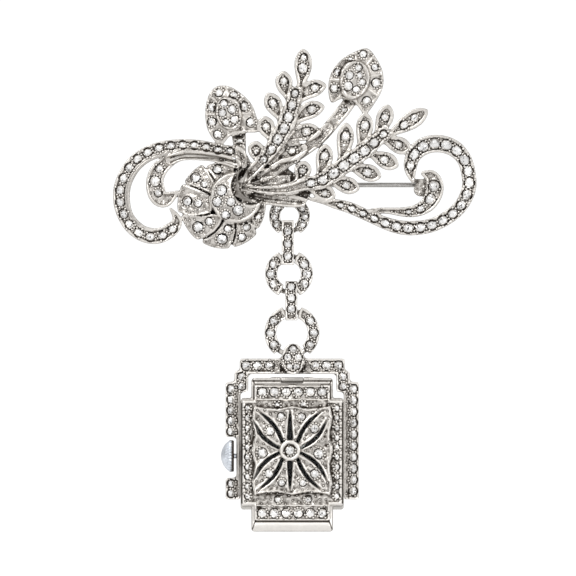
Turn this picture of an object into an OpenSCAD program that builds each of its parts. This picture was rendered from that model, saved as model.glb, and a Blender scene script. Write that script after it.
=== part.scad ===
// A marcasite watch brooch: a flower spray, a chain of five links and a hanging watch in a frame.
// The origin is on the pin's axis, half way along it. The wearer sees the front, which faces -Y.
// Plans are drawn as seen from the front, x to the right and y up, and are then raised forward.

/* [Pin] */
// Distance from the pin's axis forward to the back of the metal
metal_back = 2.6; // [2.4:0.1:3]
// Diameter of the pin's wire
pin_wire = 0.8; // [0.7:0.05:0.9]
// Distance from the pin's hinge to its tip
pin_length = 37.8; // [37:0.1:39]
// Free play round the pin in its catch and round the hinge's rivet
pin_play = 0.1; // [0.06:0.01:0.14]

/* [Spray] */
// Height of the raised rims over the floor that the stones stand on
rim_height = 0.5; // [0.3:0.05:0.6]
// Width of the raised rims
rim_width = 0.24; // [0.2:0.02:0.3]
// Thickness of the scrolls from their back to the floor
scroll_thickness = 1.3; // [1:0.1:1.6]
// Width of a leaflet beside its stone
leaflet_width = 2.9; // [2.7:0.1:3]
// Radius of the rose
rose_radius = 7.2; // [7:0.1:7.4]

/* [Stones] */
// Height of a stone over its floor, as a share of its diameter
stone_rise = 0.42; // [0.3:0.02:0.5]
// Width of a stone's table, as a share of its diameter
stone_table = 0.5; // [0.4:0.05:0.6]

/* [Chain] */
// Diameter of the rings' bare wire
link_wire = 0.8; // [0.7:0.05:0.9]
// Free play round a ring's wire in the loop that holds it
link_play = 0.2; // [0.16:0.02:0.24]
// Thickness of the rings where they carry stones
link_thickness = 1.3; // [1.1:0.1:1.5]
// Width of the two bars
bar_width = 2; // [1.7:0.05:2.1]

/* [Watch] */
// Width of the case
case_width = 17.2; // [17:0.1:17.4]
// Height of the case
case_height = 25.6; // [25.4:0.1:25.8]
// Thickness of the case from its back to the cover
case_thickness = 4.9; // [4.5:0.1:5.3]
// Thickness of the cover at its edge
cover_thickness = 0.9; // [0.85:0.05:1]
// Diameter of the crown
crown_diameter = 5.3; // [5:0.1:5.5]

/* [Hidden] */
silver = [0.74, 0.72, 0.68];
marcasite = [0.62, 0.63, 0.65];
round_faces = 32;
slight = 0.02;
curve_steps = 4;

// The rows of the ribbons: x, y, width
LEFT_SCROLL = [[-7.8, 3.2, 1.6], [-9.3, 5.3, 1.8], [-12.5, 5.8, 2], [-15.8, 6.5, 2], [-19.7, 6.6, 2],
    [-23.5, 5.8, 2.1], [-26.7, 3.7, 2.3], [-28.6, 0.3, 2.5], [-28.8, -3, 2.6], [-27.5, -6.2, 2.6],
    [-25.3, -8.1, 2.6], [-22.7, -8.5, 2.6], [-20.3, -7.3, 2.3], [-19.5, -5.7, 1.5], [-20.7, -3.8, 0.3]];
// The plain strand along the left scroll's inner edge
LEFT_EDGE = [[-18.6, 5.5, 0.5], [-19.4, 5.48, 0.7], [-21.3, 5.27, 0.65], [-23.05, 4.65, 0.6], [-24.57, 3.9, 0.6],
    [-25.85, 2.78, 0.6], [-26.8, 1.4, 0.6], [-27.4, 0, 0.6], [-27.65, -1.43, 0.6], [-27.6, -3.04, 0.6],
    [-27.27, -4.5, 0.6], [-26.65, -5.6, 0.6], [-25.75, -6.5, 0.55], [-24.75, -7.15, 0.5], [-23.56, -7.4, 0.4]];
LEFT_CURL = [[-9, 3.2, 1.4], [-12.3, 4.35, 1.3], [-15.7, 4.8, 1.4], [-18.7, 4.8, 1.5], [-20.9, 4, 2.2],
    [-22.5, 2.5, 2.7], [-23.2, 0.6, 2.9], [-22.8, -1.5, 3.1], [-21.7, -2.4, 2.8], [-20.3, -1.8, 1.6],
    [-19.3, -1, 0.3]];
RIGHT_SCROLL = [[2.5, -2.3, 0.5], [5, -2.75, 1], [6.8, -3.15, 1.6], [9.3, -3.8, 1.9], [12.7, -5.3, 1.9],
    [16.2, -6.7, 2.2], [19.3, -7.2, 2.4], [22.7, -6.8, 2.3], [25.5, -5.5, 2.3], [27.8, -3.5, 2.3],
    [29.1, -0.8, 2.4], [29.1, 1.8, 2.4], [28.3, 4.4, 2.5], [26.5, 6.2, 2.8], [24, 6.9, 2.9], [21.5, 6.4, 2.9],
    [19.8, 4.7, 2.5], [19.4, 2.5, 2], [19.9, 0.3, 0.4]];
RIGHT_CURL = [[12.6, -4.2, 0.4], [14, -4.25, 0.9], [16, -4.3, 1.1], [18.3, -4.5, 1.6], [20.3, -4.3, 2],
    [22.2, -3.3, 2.5], [23.3, -1.5, 2.9], [23.4, 0.2, 2.9], [22.7, 1.5, 2.2], [21.2, 2, 0.5]];
UPPER_MIDRIB = [[0.4, 16.3, 1.9], [-0.1, 14.2, 2.2], [-0.8, 11.7, 2.5], [-1.8, 9.2, 2.7], [-3.2, 6.8, 2.5],
    [-4.7, 4.7, 2], [-7, 2.2, 1.8], [-8.5, 0.2, 1]];
RIGHT_MIDRIB = [[15.8, 9.3, 1.8], [14.2, 7.8, 2.2], [12, 5.9, 2.6], [9.7, 4.2, 2.8], [7.2, 2.4, 2.7],
    [4.7, 0.8, 2.4], [1.8, 0.1, 2], [-1.5, -0.8, 1.6], [-5.3, -0.8, 1.2], [-8.5, -0.4, 1]];
LEFT_STALK = [[-9.3, 9.6, 2.3], [-9.1, 7.2, 2.2], [-8.8, 4.2, 1.6], [-8.7, 0, 1.3]];
RIGHT_STALK = [[9.9, 14.7, 2], [8.3, 12.5, 2.2], [6.8, 10.7, 2.1], [4.3, 7.8, 2], [1, 5.2, 1.8],
    [-3.2, 2.5, 1.6], [-7.3, 0.2, 1.3]];
SHORT_STEM = [[-8.2, -0.5, 1.2], [-4.3, 0.6, 1.3], [-0.8, 1, 1]];
LOWER_STEM = [[-8.4, -1.6, 1.6], [-4, -2.4, 1.9], [0, -2.8, 1.9], [1.9, -3, 1.2]];
// The plate behind the stems: x, y
STEM_WEB = [[-8.5, 3], [-3, 4.2], [1, 1.2], [3, -1], [2, -3], [-8.5, -2.4]];

// The leaflets: root x, root y, stone x, stone y, tip x, tip y, stone diameter
UPPER_LEAFLETS = [[-0.4, 13.7, -1.7, 17.3, -1.6, 19, 1.4], [-1.8, 10, -3.5, 13.6, -4.5, 15.3, 1.6],
    [-3.4, 7, -4.65, 9.7, -4.8, 11.5, 1.4], [-5.6, 3.4, -6.25, 5.5, -6.1, 7.3, 1.1],
    [0, 12.6, 3.5, 16.2, 5.4, 16.5, 1.5], [-0.6, 9.2, 3, 12.6, 5.1, 13, 1.6],
    [-2.2, 6.2, 2.1, 8.9, 4.4, 8.9, 1.6], [-4, 3.2, -0.3, 5.6, 2.1, 6.1, 1.4]];
RIGHT_LEAFLETS = [[0.4, 0, 1.4, 2.3, 1.8, 4, 1.3], [3.8, 0.6, 5.1, 4.8, 5.3, 6.8, 1.6],
    [7.4, 2.8, 8.6, 8.1, 8.7, 10.4, 1.7], [10.5, 5.2, 11.8, 9.9, 11.8, 12.1, 1.7],
    [13.2, 7.4, 15.15, 11.25, 15.7, 13.4, 1.3], [1.8, 0.1, 5.1, -1.35, 6.9, -1.9, 1.2],
    [5, 1, 8.7, 0, 10.9, -0.7, 1.5], [8.6, 3.2, 12.2, 2.1, 14.5, 1.3, 1.6],
    [11.8, 5.6, 15, 4.2, 17.4, 3.1, 1.6], [14, 7.8, 17.3, 6.7, 19.5, 5.8, 1.5]];
UPPER_TIP = [0.8, 15.2, 1.5, 19.3, 1.5, 22.7, 1.8];
RIGHT_TIP = [15, 7.8, 18.4, 10, 22.3, 12.5, 1.8];

// The buds' outlines: x, y
LEFT_BUD = [[-12.7, 16.5], [-10.2, 16.2], [-7.3, 13.8], [-6.2, 11.2], [-5.6, 9], [-8.5, 8.7], [-10.6, 8.2],
    [-11.8, 6.85], [-12.8, 6.85], [-14.4, 9.2], [-14.8, 12.2], [-14.2, 15]];
RIGHT_BUD = [[12.2, 22.8], [9.7, 22], [7.7, 20.7], [6.2, 18.7], [5.7, 16.2], [6.2, 13.7], [8, 14.4],
    [10.2, 13.6], [11.8, 11.8], [13.5, 13.7], [14.8, 16.2], [14.8, 18.8], [13.8, 21]];
// The buds: centre x, centre y, inner oval's width, its height, its tilt
LEFT_OVAL = [-10.9, 11.9, 4.2, 5.6, 20];
RIGHT_OVAL = [10.15, 17.55, 4.9, 6.3, -12];
// The buds' stones: x, y, diameter, first on the outer band and then on the oval
LEFT_BUD_BAND = [[-12.5, 15.4, 1.3], [-10, 15, 1.2], [-8.3, 13.1, 1.4], [-7.2, 10.4, 1.5],
    [-13.7, 13, 1.4], [-13.7, 10.5, 1.4], [-12.7, 8.4, 1.4]];
LEFT_BUD_CENTRE = [[-11.7, 13.6, 1.3], [-12, 12, 1.3], [-10.3, 12.6, 1.4], [-9.85, 10.85, 1.4],
    [-11.35, 10.4, 1.2]];
RIGHT_BUD_BAND = [[11.5, 21.8, 1.3], [9.35, 20.95, 0.8], [7.2, 18.8, 1.15], [6.7, 16.1, 1.4],
    [13.5, 19.65, 1.2], [13.7, 17, 1.5], [12.1, 14, 1.4]];
RIGHT_BUD_CENTRE = [[10.75, 19.6, 1.2], [9.2, 18.3, 1.4], [11, 18.3, 1], [9, 16.5, 1.5],
    [11.4, 17.1, 1.1], [10.4, 15.85, 1.2]];

// The rose: its middle, where its petals' grooves meet
rose_x = -11.6;
rose_y = -3.3;
// The grooves between the petals: angle at the rose's edge, turn on the way to its middle,
// and the reach of the petal that follows, as a share of the rose's radius
GROOVES = [[74, 0, 0.99], [118, -14, 1.07], [153, -14, 1.09], [189, 36, 1.03], [233, 50, 1.02],
    [276, 50, 1.01], [319, 36, 0.96], [362, 20, 1]];
// The petals' stones: x and y from the rose's middle, diameter
PETAL_STONES = [[-1.15, 5.9, 1.5], [-4.8, 4.5, 1.6], [-3.3, 3.5, 1.2], [-6.2, 0.6, 1.5], [-4.4, 0.3, 1.3],
    [-4.4, -3.7, 1.7], [-2.5, -2.8, 1.3], [-0.4, -5.7, 1.7], [0.6, -4, 1.2], [2.9, -5.4, 1.3],
    [3.7, -3.7, 1.2], [5.6, -1.9, 1.2]];
// The heart's stones: x and y from the rose's middle, diameter
HEART_STONES = [[-0.5, 2.4, 1.7], [-1.2, 0.5, 1.5], [1.1, 0.5, 1.4], [0.2, -1.7, 1.4], [2.3, -0.9, 1.7]];

// Heights, all measured forward from the pin's axis
scroll_floor = metal_back + scroll_thickness;
leaflet_back = metal_back + 0.4;
leaflet_floor = scroll_floor + 0.2;
midrib_floor = leaflet_floor + rim_height + 0.05;
bud_back = metal_back + 0.35;
stem_back = metal_back + 0.5;
stalk_floor = stem_back + 0.65;
rose_edge = metal_back + 1.6;
rose_top = rose_edge + 2.1;
heart_top = rose_top + 0.9;

pin_hinge_x = -15.7;
catch_x = 21.1;
eye_radius = 1;
eye_height = 1.2;
rivet_radius = 0.35;
ear_thickness = 0.6;
catch_length = 1.6;

// The rings: middle x, middle y, radius to the wire's middle, radial width of the arms that carry stones,
// and the angles at which the arms end, below and above the middle
RING_TOP = [-0.75, -5.17, 2.5, 1.85, -58, 60];
RING_MIDDLE = [-0.83, -14.83, 3, 2, -64, 66];
RING_BOTTOM = [-0.33, -24.67, 3.62, 1.95, -50, 70];
// The bars: middle x, and how far the lowest and highest stone stand above the wires they hang on
BAR_UPPER = [-1.03, 0, 0];
BAR_LOWER = [-0.45, 0.35, 0.9];
chain_front = 1.6;
arm_stone_angle = 34;
link_radius = link_wire / 2;
arm_floor = chain_front + link_radius + 0.05;
loop_bore = link_radius + link_play;
loop_width = 1.2;
bail_width = 1.5;
loop_wall = 0.45;

// The watch
watch_x = -0.3;
case_top = -32.17;
case_back_front = -1.7;
case_front = case_back_front + case_thickness + 0.05;
seam = 0.15;
cover_back = case_front + seam;
shoulder_drop = 3.33;
foot_rise = 3.67;
tab_half = 6.8;
case_half = case_width / 2;
case_bottom = case_top - case_height;
cover_floor = cover_back + cover_thickness + 0.4;
panel_top = cover_floor + 0.7;
hinge_y = case_top - 0.28;
hinge_front = cover_back + 0.45;
knuckle_half = 1.8;
knuckle_radius = 0.4;
hinge_pin_radius = 0.18;
panel_y = -44.25;
flower_x = -0.67;
// The cover's stones. In the bands: x from the watch's middle, y, diameter
BAND_STONES = [[-2.5, -36.7, 1], [1.9, -36.65, 1], [-2.4, -52.35, 1.1], [2.65, -52.35, 1.1]];
// On the panel: x and y from the flower's middle, diameter
FLOWER_STONES = [[-3.3, 3.25, 1.4], [4.1, 3.65, 1.4], [-3.5, -3.85, 1.4], [4.15, -3.9, 1.4], [-1.5, 5.75, 1.1],
    [1.9, 5.6, 1.2], [-1.4, -5.4, 1.1], [2.15, -5.4, 1.1], [-4.65, -0.4, 1.6], [4.85, -0.55, 1.6]];
crown_y = -45.17;
crown_front = 2;
frame_back = 1.1;
frame_floor = 2.5;
frame_rim = frame_floor + 0.4;
rail_width = 0.7;
// The frame's steps: half its width, and how high it is that wide
FRAME_STEPS = [[8.75, -28.92], [9.6, -31], [11.1, -32.83]];
frame_foot = -52.4;
frame_hole_half = 7.35;
frame_hole_top = -31.5;
frame_seat_top = -34.5;
crown_notch = [-48.83, -42];
stem_radius = 0.4;
dial_front = case_front - 1;

// Point t of the way from b to c on the smooth curve through a, b, c and d
function curve_point(a, b, c, d, t) = 0.5 * (2 * b + (c - a) * t + (2 * a - 5 * b + 4 * c - d) * t * t
    + (3 * b - 3 * c + d - a) * t * t * t);

// Rows on the smooth curve through the given rows
function curve(rows, steps) = [
    for (i = [0 : len(rows) - 2], s = [0 : steps - 1])
        curve_point(rows[max(i - 1, 0)], rows[i], rows[i + 1], rows[min(i + 2, len(rows) - 1)], s / steps),
    rows[len(rows) - 1]];

// The same for a closed outline
function closed_curve(rows, steps) = [
    for (i = [0 : len(rows) - 1], s = [0 : steps - 1])
        curve_point(rows[(i + len(rows) - 1) % len(rows)], rows[i], rows[(i + 1) % len(rows)],
            rows[(i + 2) % len(rows)], s / steps)];

function flat(row) = [row[0], row[1]];
function direction(rows, i) =
    let (d = flat(rows[min(i + 1, len(rows) - 1)]) - flat(rows[max(i - 1, 0)]))
    d / norm(d);
function side_point(rows, i, side) =
    let (d = direction(rows, i))
    flat(rows[i]) + side * rows[i][2] / 2 * [-d[1], d[0]];

// Outline of a ribbon whose rows give its middle line and width
function ribbon_outline(rows) = concat(
    [for (i = [0 : len(rows) - 1]) side_point(rows, i, 1)],
    [for (i = [len(rows) - 1 : -1 : 0]) side_point(rows, i, -1)]);

// Rows of a leaflet from its root through its stone to its tip
function leaflet_rows(leaf, width) =
    let (root = [leaf[0], leaf[1]], stone = [leaf[2], leaf[3]], tip = [leaf[4], leaf[5]])
    let (at = norm(stone - root) / (norm(stone - root) + norm(tip - stone)))
    let (bend = (stone - (1 - at) * (1 - at) * root - at * at * tip) / (2 * at * (1 - at)))
    [for (s = [0 : 0.125 : 1])
        let (t = s * (2 - s), p = (1 - t) * (1 - t) * root + 2 * t * (1 - t) * bend + t * t * tip)
        [p[0], p[1], max(0.3, width * max(0.42 * (1 - t), pow(sin(180 * pow(t, 1.7)), 0.62)))]];

// Length along rows up to each of them
function lengths(rows) = [
    for (i = 0, total = 0; i < len(rows);
        step = i + 1 < len(rows) ? norm(flat(rows[i + 1]) - flat(rows[i])) : 0,
        total = total + step, i = i + 1)
        total];
function row_at(rows, along, distance) =
    let (i = max([for (k = [0 : len(rows) - 2]) along[k] <= distance ? k : 0]))
    let (t = (distance - along[i]) / (along[i + 1] - along[i]))
    rows[i] * (1 - t) + rows[i + 1] * t;

// Stones set along a ribbon: x, y, diameter, from first to last distance along it
// of it; aside moves them over by a share of the room beside them
function stones_along(rows, count, first, last, share, limit, aside = 0) =
    let (fine = curve(rows, curve_steps), along = lengths(fine))
    [for (i = [0 : count - 1])
        let (reach = first + (last - first) * i / (count - 1),
            row = row_at(fine, along, reach),
            step = row_at(fine, along, reach + 0.1) - row,
            size = min(limit, (row[2] - 2 * rim_width) * share),
            shift = aside * (row[2] - 2 * rim_width - size) / 2 / norm([step[0], step[1]]))
        [row[0] + shift * step[1], row[1] - shift * step[0], size]];

// Raises a plan from one distance in front of the pin's axis to another
module slab(low, high) {
    rotate([90, 0, 0]) translate([0, 0, low]) linear_extrude(high - low) children();
}

// A plate with a raised rim round its outline. Cut notches keep the rim narrow where the outline turns inward.
module tray(low, floor_at, rim_at, wall = rim_width, cut_notches = false) {
    slab(low, floor_at) children();
    slab(floor_at, rim_at) difference() {
        children();
        offset(delta = -wall, chamfer = cut_notches) children();
    }
}

module ribbon(rows) {
    polygon(ribbon_outline(curve(rows, curve_steps)));
}

module leaflet(leaf, width = leaflet_width) {
    polygon(ribbon_outline(leaflet_rows(leaf, width)));
}

// A ball whose top is at a given height and whose surface falls to edge_at at the given radius
module dome(x, y, radius, edge_at, top_at) {
    ball = (radius * radius + pow(top_at - edge_at, 2)) / (2 * (top_at - edge_at));
    translate([x, ball - top_at, y]) sphere(ball, $fn = 96);
}

// One cut stone, its table up
module stone(diameter) {
    rise = diameter * stone_rise;
    cylinder(rise, diameter / 2, diameter / 2 * stone_table, $fn = 8);
}

// Stones given as x, y, diameter on a flat floor
module stones_on(stones, floor_at) {
    color(marcasite)
    for (s = stones)
        rotate([90, 0, 0]) translate([s[0], s[1], floor_at + slight]) rotate([0, 0, 22.5]) stone(s[2]);
}

// Stones on a dome, each square to its surface
module stones_on_dome(stones, x, y, radius, edge_at, top_at) {
    ball = (radius * radius + pow(top_at - edge_at, 2)) / (2 * (top_at - edge_at));
    color(marcasite)
    for (s = stones) {
        away = [s[0] - x, s[1] - y];
        rotate([90, 0, 0]) translate([x, y, top_at - ball])
            rotate([0, 0, atan2(away[1], away[0])]) rotate([0, asin(norm(away) / ball), 0])
            translate([0, 0, ball + slight]) stone(s[2]);
    }
}

module leaf(midrib, leaflets, tip) {
    tray(leaflet_back, leaflet_floor, leaflet_floor + rim_height, 1.5 * rim_width, true) {
        union() {
            for (one = leaflets) leaflet(one);
            leaflet(tip, 3);
        }
    }
    tray(leaflet_back - 0.1, midrib_floor, midrib_floor + rim_height) ribbon(midrib);
}

module oval(shape, grow = 0) {
    translate([shape[0], shape[1]]) rotate(shape[4]) polygon([
        for (a = [0 : 15 : 345]) [(shape[2] / 2 + grow) * cos(a), (shape[3] / 2 + grow) * sin(a)]]);
}

bud_edge = bud_back + 1.1;
bud_top = bud_edge + 1.6;
bud_radius = 5.6;

module bud(outline, centre) {
    intersection() {
        slab(bud_back, bud_top) polygon(closed_curve(outline, 3));
        dome(centre[0], centre[1], bud_radius, bud_edge, bud_top - 0.4);
    }
    intersection() {
        slab(bud_back, bud_top) difference() {
            polygon(closed_curve(outline, 3));
            offset(delta = -rim_width) polygon(closed_curve(outline, 3));
        }
        dome(centre[0], centre[1], bud_radius, bud_edge + 0.35, bud_top);
    }
    intersection() {
        slab(bud_back, bud_top + 1) oval(centre);
        dome(centre[0], centre[1], bud_radius, bud_edge + 0.2, bud_top + 0.1);
    }
    intersection() {
        slab(bud_back, bud_top + 1) difference() {
            oval(centre);
            oval(centre, -rim_width);
        }
        dome(centre[0], centre[1], bud_radius, bud_edge + 0.6, bud_top + 0.5);
    }
}

// Point of a groove at a share of a petal's reach
function groove_point(groove, share, reach) =
    let (a = groove[0] + groove[1] * (1 - share))
    reach * share * [cos(a), sin(a)];

module petal(first, last) {
    gap = 0.2;
    corner = 0.45;
    reach = rose_radius * first[2] + gap / 2;
    offset(r = corner, $fn = 16) offset(delta = -corner - gap / 2)
        polygon(concat([for (t = [0.3 : 0.175 : 1]) groove_point(first, t, reach)],
            [for (t = [0.2 : 0.2 : 0.8]) groove_point(first * (1 - t) + last * t, 1, reach)],
            [for (t = [1 : -0.175 : 0.3]) groove_point(last, t, reach)]));
}

module petals() {
    translate([rose_x, rose_y]) for (i = [0 : len(GROOVES) - 2]) petal(GROOVES[i], GROOVES[i + 1]);
}

heart_x = rose_x + 1.9;
heart_y = rose_y + 1.2;
heart_radius = 4.3;

module heart() {
    difference() {
        translate([heart_x, heart_y]) circle(heart_radius, $fn = 48);
        translate([heart_x + 2.4, heart_y + 1.9]) circle(3.1, $fn = 48);
    }
}

module rose() {
    // Disc that joins the petals under their grooves
    slab(metal_back, rose_edge - 0.9) translate([rose_x, rose_y]) circle(rose_radius - 0.6, $fn = 64);
    intersection() {
        slab(metal_back, rose_top + 1) petals();
        dome(rose_x, rose_y, rose_radius, rose_edge - 0.35, rose_top - 0.35);
    }
    intersection() {
        slab(metal_back, rose_top + 1) difference() {
            petals();
            offset(delta = -rim_width) petals();
        }
        dome(rose_x, rose_y, rose_radius, rose_edge, rose_top);
    }
    intersection() {
        slab(metal_back, heart_top) heart();
        dome(heart_x, heart_y, heart_radius, heart_top - 0.9, heart_top);
    }
}

knot_x = -8.7;
knot_y = -0.5;
knot_radius = 1.9;
knot_top = midrib_floor + rim_height + 0.1;
calyx_x = -7.3;
calyx_y = 0;
calyx_radius = 3;

// Low boss where the stems meet, and the calyx's edge that curls round it from the left
module knot() {
    intersection() {
        slab(metal_back + 0.1, heart_top) translate([knot_x, knot_y]) circle(knot_radius, $fn = 32);
        dome(knot_x, knot_y, knot_radius, knot_top - 0.7, knot_top);
    }
    slab(metal_back + 0.1, knot_top + 0.6) difference() {
        translate([calyx_x, calyx_y]) circle(calyx_radius, $fn = 48);
        translate([calyx_x + 0.9, calyx_y + 0.6]) circle(calyx_radius, $fn = 48);
        translate([calyx_x + 1, calyx_y - 5]) square([5, 10]);
    }
}

module stems() {
    slab(stem_back, stem_back + 0.5) polygon(STEM_WEB);
    tray(stem_back, stalk_floor, stalk_floor + 0.3) union() {
        ribbon(LEFT_STALK);
        ribbon(RIGHT_STALK);
    }
    tray(stem_back + 0.05, stem_back + 0.9, stem_back + 1.2) union() {
        ribbon(SHORT_STEM);
        ribbon(LOWER_STEM);
    }
}

// A loop on an axis along x: a block with a round end, from its root forward
module loop_body(x, y, width, root_at) {
    outer = loop_bore + loop_wall;
    translate([x - width / 2, -chain_front, y]) rotate([0, 90, 0])
        cylinder(width, outer, outer, $fn = round_faces);
    translate([x - width / 2, -root_at, y - outer]) cube([width, root_at - chain_front, 2 * outer]);
}

module loop_cut(x, y, width) {
    translate([x - width / 2 - 1, -chain_front, y]) rotate([0, 90, 0])
        cylinder(width + 2, loop_bore, loop_bore, $fn = round_faces);
}

module ring_holder() {
    difference() {
        loop_body(RING_TOP[0], RING_TOP[1] + RING_TOP[2], loop_width, stem_back + 0.4);
        loop_cut(RING_TOP[0], RING_TOP[1] + RING_TOP[2], loop_width);
    }
}

module pin_ear(at) {
    translate([pin_hinge_x, 0, at]) cylinder(ear_thickness, eye_radius, eye_radius, $fn = round_faces);
    translate([pin_hinge_x - eye_radius, -metal_back - 0.2, at])
        cube([2 * eye_radius, metal_back + 0.2, ear_thickness]);
}

module pin_hinge() {
    ear_low = eye_height / 2 + 0.05;
    difference() {
        union() {
            pin_ear(ear_low);
            pin_ear(-ear_low - ear_thickness);
        }
        translate([pin_hinge_x, 0, -3])
            cylinder(6, rivet_radius + slight, rivet_radius + slight, $fn = round_faces);
    }
    base = 2 * (ear_low + ear_thickness);
    translate([pin_hinge_x - 1.6, -metal_back - 0.2, -base / 2]) cube([3.2, 0.7, base]);
}

module catch() {
    slot = pin_wire / 2 + pin_play;
    slab(metal_back - 0.5, metal_back + 0.25) translate([catch_x, -0.75]) circle(1.15, $fn = round_faces);
    difference() {
        translate([catch_x - catch_length / 2, -metal_back + 0.2, -slot - 0.5])
            cube([catch_length, metal_back + 0.5, 2 * slot + 1]);
        translate([catch_x - catch_length / 2 - 1, -slot, -slot]) cube([catch_length + 2, 3, 2 * slot]);
    }
}

module spray() {
    color(silver) {
        tray(metal_back, scroll_floor, scroll_floor + rim_height) ribbon(LEFT_SCROLL);
        slab(metal_back + 0.03, scroll_floor + rim_height - 0.07) ribbon(LEFT_EDGE);
        tray(metal_back + 0.05, scroll_floor - 0.3, scroll_floor + rim_height - 0.3) ribbon(LEFT_CURL);
        tray(metal_back + 0.02, scroll_floor + 0.02, scroll_floor + rim_height + 0.02) ribbon(RIGHT_SCROLL);
        tray(metal_back + 0.07, scroll_floor - 0.25, scroll_floor + rim_height - 0.25) ribbon(RIGHT_CURL);
        leaf(UPPER_MIDRIB, UPPER_LEAFLETS, UPPER_TIP);
        leaf(RIGHT_MIDRIB, RIGHT_LEAFLETS, RIGHT_TIP);
        bud(LEFT_BUD, LEFT_OVAL);
        bud(RIGHT_BUD, RIGHT_OVAL);
        rose();
        knot();
        stems();
        ring_holder();
        pin_hinge();
        catch();
    }
}

module pin_rivet() {
    half = eye_height / 2 + 0.05 + ear_thickness;
    color(silver) {
        translate([pin_hinge_x, 0, -half]) cylinder(2 * half, rivet_radius, rivet_radius, $fn = round_faces);
        for (at = [half, -half - 0.25])
            translate([pin_hinge_x, 0, at])
                cylinder(0.25, rivet_radius + 0.25, rivet_radius + 0.25, $fn = round_faces);
    }
}

module pin_stem() {
    taper = 1.6;
    shaft = pin_length - taper;
    radius = pin_wire / 2;
    color(silver) difference() {
        union() {
            translate([pin_hinge_x, 0, -eye_height / 2])
                cylinder(eye_height, eye_radius - 0.1, eye_radius - 0.1, $fn = round_faces);
            translate([pin_hinge_x, 0, 0]) rotate([0, 90, 0])
                cylinder(shaft, radius, radius, $fn = round_faces);
            translate([pin_hinge_x + shaft, 0, 0]) rotate([0, 90, 0])
                cylinder(taper, radius, radius / 4, $fn = round_faces);
        }
        translate([pin_hinge_x, 0, -3])
            cylinder(6, rivet_radius + 0.06, rivet_radius + 0.06, $fn = round_faces);
    }
}

// A ring's right arm
module arm_plan(ring) {
    inner = ring[2] - ring[3] / 2;
    outer = ring[2] + ring[3] / 2;
    steps = 10;
    angles = [for (i = [0 : steps]) ring[4] + (ring[5] - ring[4]) * i / steps];
    polygon(concat([for (a = angles) outer * [cos(a), sin(a)]],
        [for (i = [steps : -1 : 0]) inner * [cos(angles[i]), sin(angles[i])]]));
}

module ring(ring) {
    color(silver) {
        translate([ring[0], -chain_front, ring[1]]) rotate([90, 0, 0])
            rotate_extrude($fn = 48) translate([ring[2], 0]) circle(link_radius, $fn = 16);
        for (side = [0, 1])
            translate([ring[0], 0, ring[1]]) mirror([side, 0, 0])
                tray(chain_front - link_thickness / 2, arm_floor, arm_floor + 0.3) arm_plan(ring);
    }
}

function ring_stones(ring) = [
    for (middle = [0, 180], a = [-arm_stone_angle, 0, arm_stone_angle])
        [ring[0] + ring[2] * cos(middle + a), ring[1] + ring[2] * sin(middle + a), ring[3] - 2 * rim_width]];

bar_back = chain_front + loop_bore + loop_wall - 0.2;
bar_floor = bar_back + 0.7;

// A bar that hangs from the upper ring and carries the lower one
module bar(upper, lower, place) {
    x = place[0];
    top_wire = upper[1] - upper[2];
    low_wire = lower[1] + lower[2];
    color(silver) {
        tray(bar_back, bar_floor, bar_floor + 0.35)
            translate([x - bar_width / 2, low_wire - 1.5]) square([bar_width, top_wire - low_wire + 3.3]);
        for (hold = [[upper[0], top_wire], [lower[0], low_wire]]) difference() {
            loop_body(hold[0], hold[1], loop_width, bar_back + 0.2);
            loop_cut(hold[0], hold[1], loop_width);
        }
    }
}

function bar_stones(upper, lower, place) =
    let (top = upper[1] - upper[2] + place[2], low = lower[1] + lower[2] + place[1])
    [for (i = [0 : 2]) [place[0], low + (top - low) * i / 2, bar_width - 2 * rim_width - 0.1]];

module frame_plan() {
    difference() {
        for (step = FRAME_STEPS)
            translate([watch_x - step[0], frame_foot]) square([2 * step[0], step[1] - frame_foot]);
        translate([watch_x - frame_hole_half, frame_foot])
            square([2 * frame_hole_half, frame_hole_top - frame_foot]);
        translate([watch_x - case_half, frame_foot - 1]) square([case_width, frame_seat_top - frame_foot + 1]);
        // Notch for the crown, outside the left rail
        translate([watch_x - case_half - rail_width - 4, crown_notch[0]])
            square([4, crown_notch[1] - crown_notch[0]]);
    }
}

module crown_bore(radius) {
    translate([watch_x - 14, -crown_front, crown_y]) rotate([0, 90, 0])
        cylinder(14 - case_half + 1.6, radius, radius, $fn = round_faces);
}

bail_x = -0.17;
bail_y = -29;
bail_back = chain_front + 1.2;
bail_floor = bail_back + 0.6;
ring_bottom_wire = RING_BOTTOM[1] - RING_BOTTOM[2];

module bail_plan() {
    polygon([for (a = [0 : 15 : 345]) [bail_x + 1.9 * cos(a), bail_y + 2.6 * sin(a)]]);
}

module pendant_frame() {
    color(silver) difference() {
        union() {
            tray(frame_back, frame_floor, frame_rim) frame_plan();
            tray(bail_back, bail_floor, bail_floor + 0.4) bail_plan();
            loop_body(RING_BOTTOM[0], ring_bottom_wire, bail_width, bail_back + 0.2);
            translate([RING_BOTTOM[0] - bail_width / 2, -frame_rim, -30])
                cube([bail_width, frame_rim - frame_back, 1.4]);
        }
        loop_cut(RING_BOTTOM[0], ring_bottom_wire, bail_width + 2);
        crown_bore(stem_radius + 0.06);
    }
}

// Plan of the case or cover: a tall tab crossed by a wide block, drawn in by inset
module watch_plan(inset, foot) {
    tall = tab_half - inset;
    wide = case_half - inset;
    offset(r = 0.5, $fn = 16) offset(delta = -0.5) {
        translate([watch_x - tall, case_bottom + inset]) square([2 * tall, case_height - 2 * inset]);
        translate([watch_x - wide, case_bottom + foot + inset])
            square([2 * wide, case_height - shoulder_drop - foot - 2 * inset]);
    }
}

dial_half = 5.6;
dial_top = -37;
dial_bottom = -52.4;

module dial_plan(inset = 0) {
    offset(r = 0.6, $fn = 16) offset(delta = -0.6 - inset)
        translate([watch_x - dial_half, dial_bottom]) square([2 * dial_half, dial_top - dial_bottom]);
}

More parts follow.
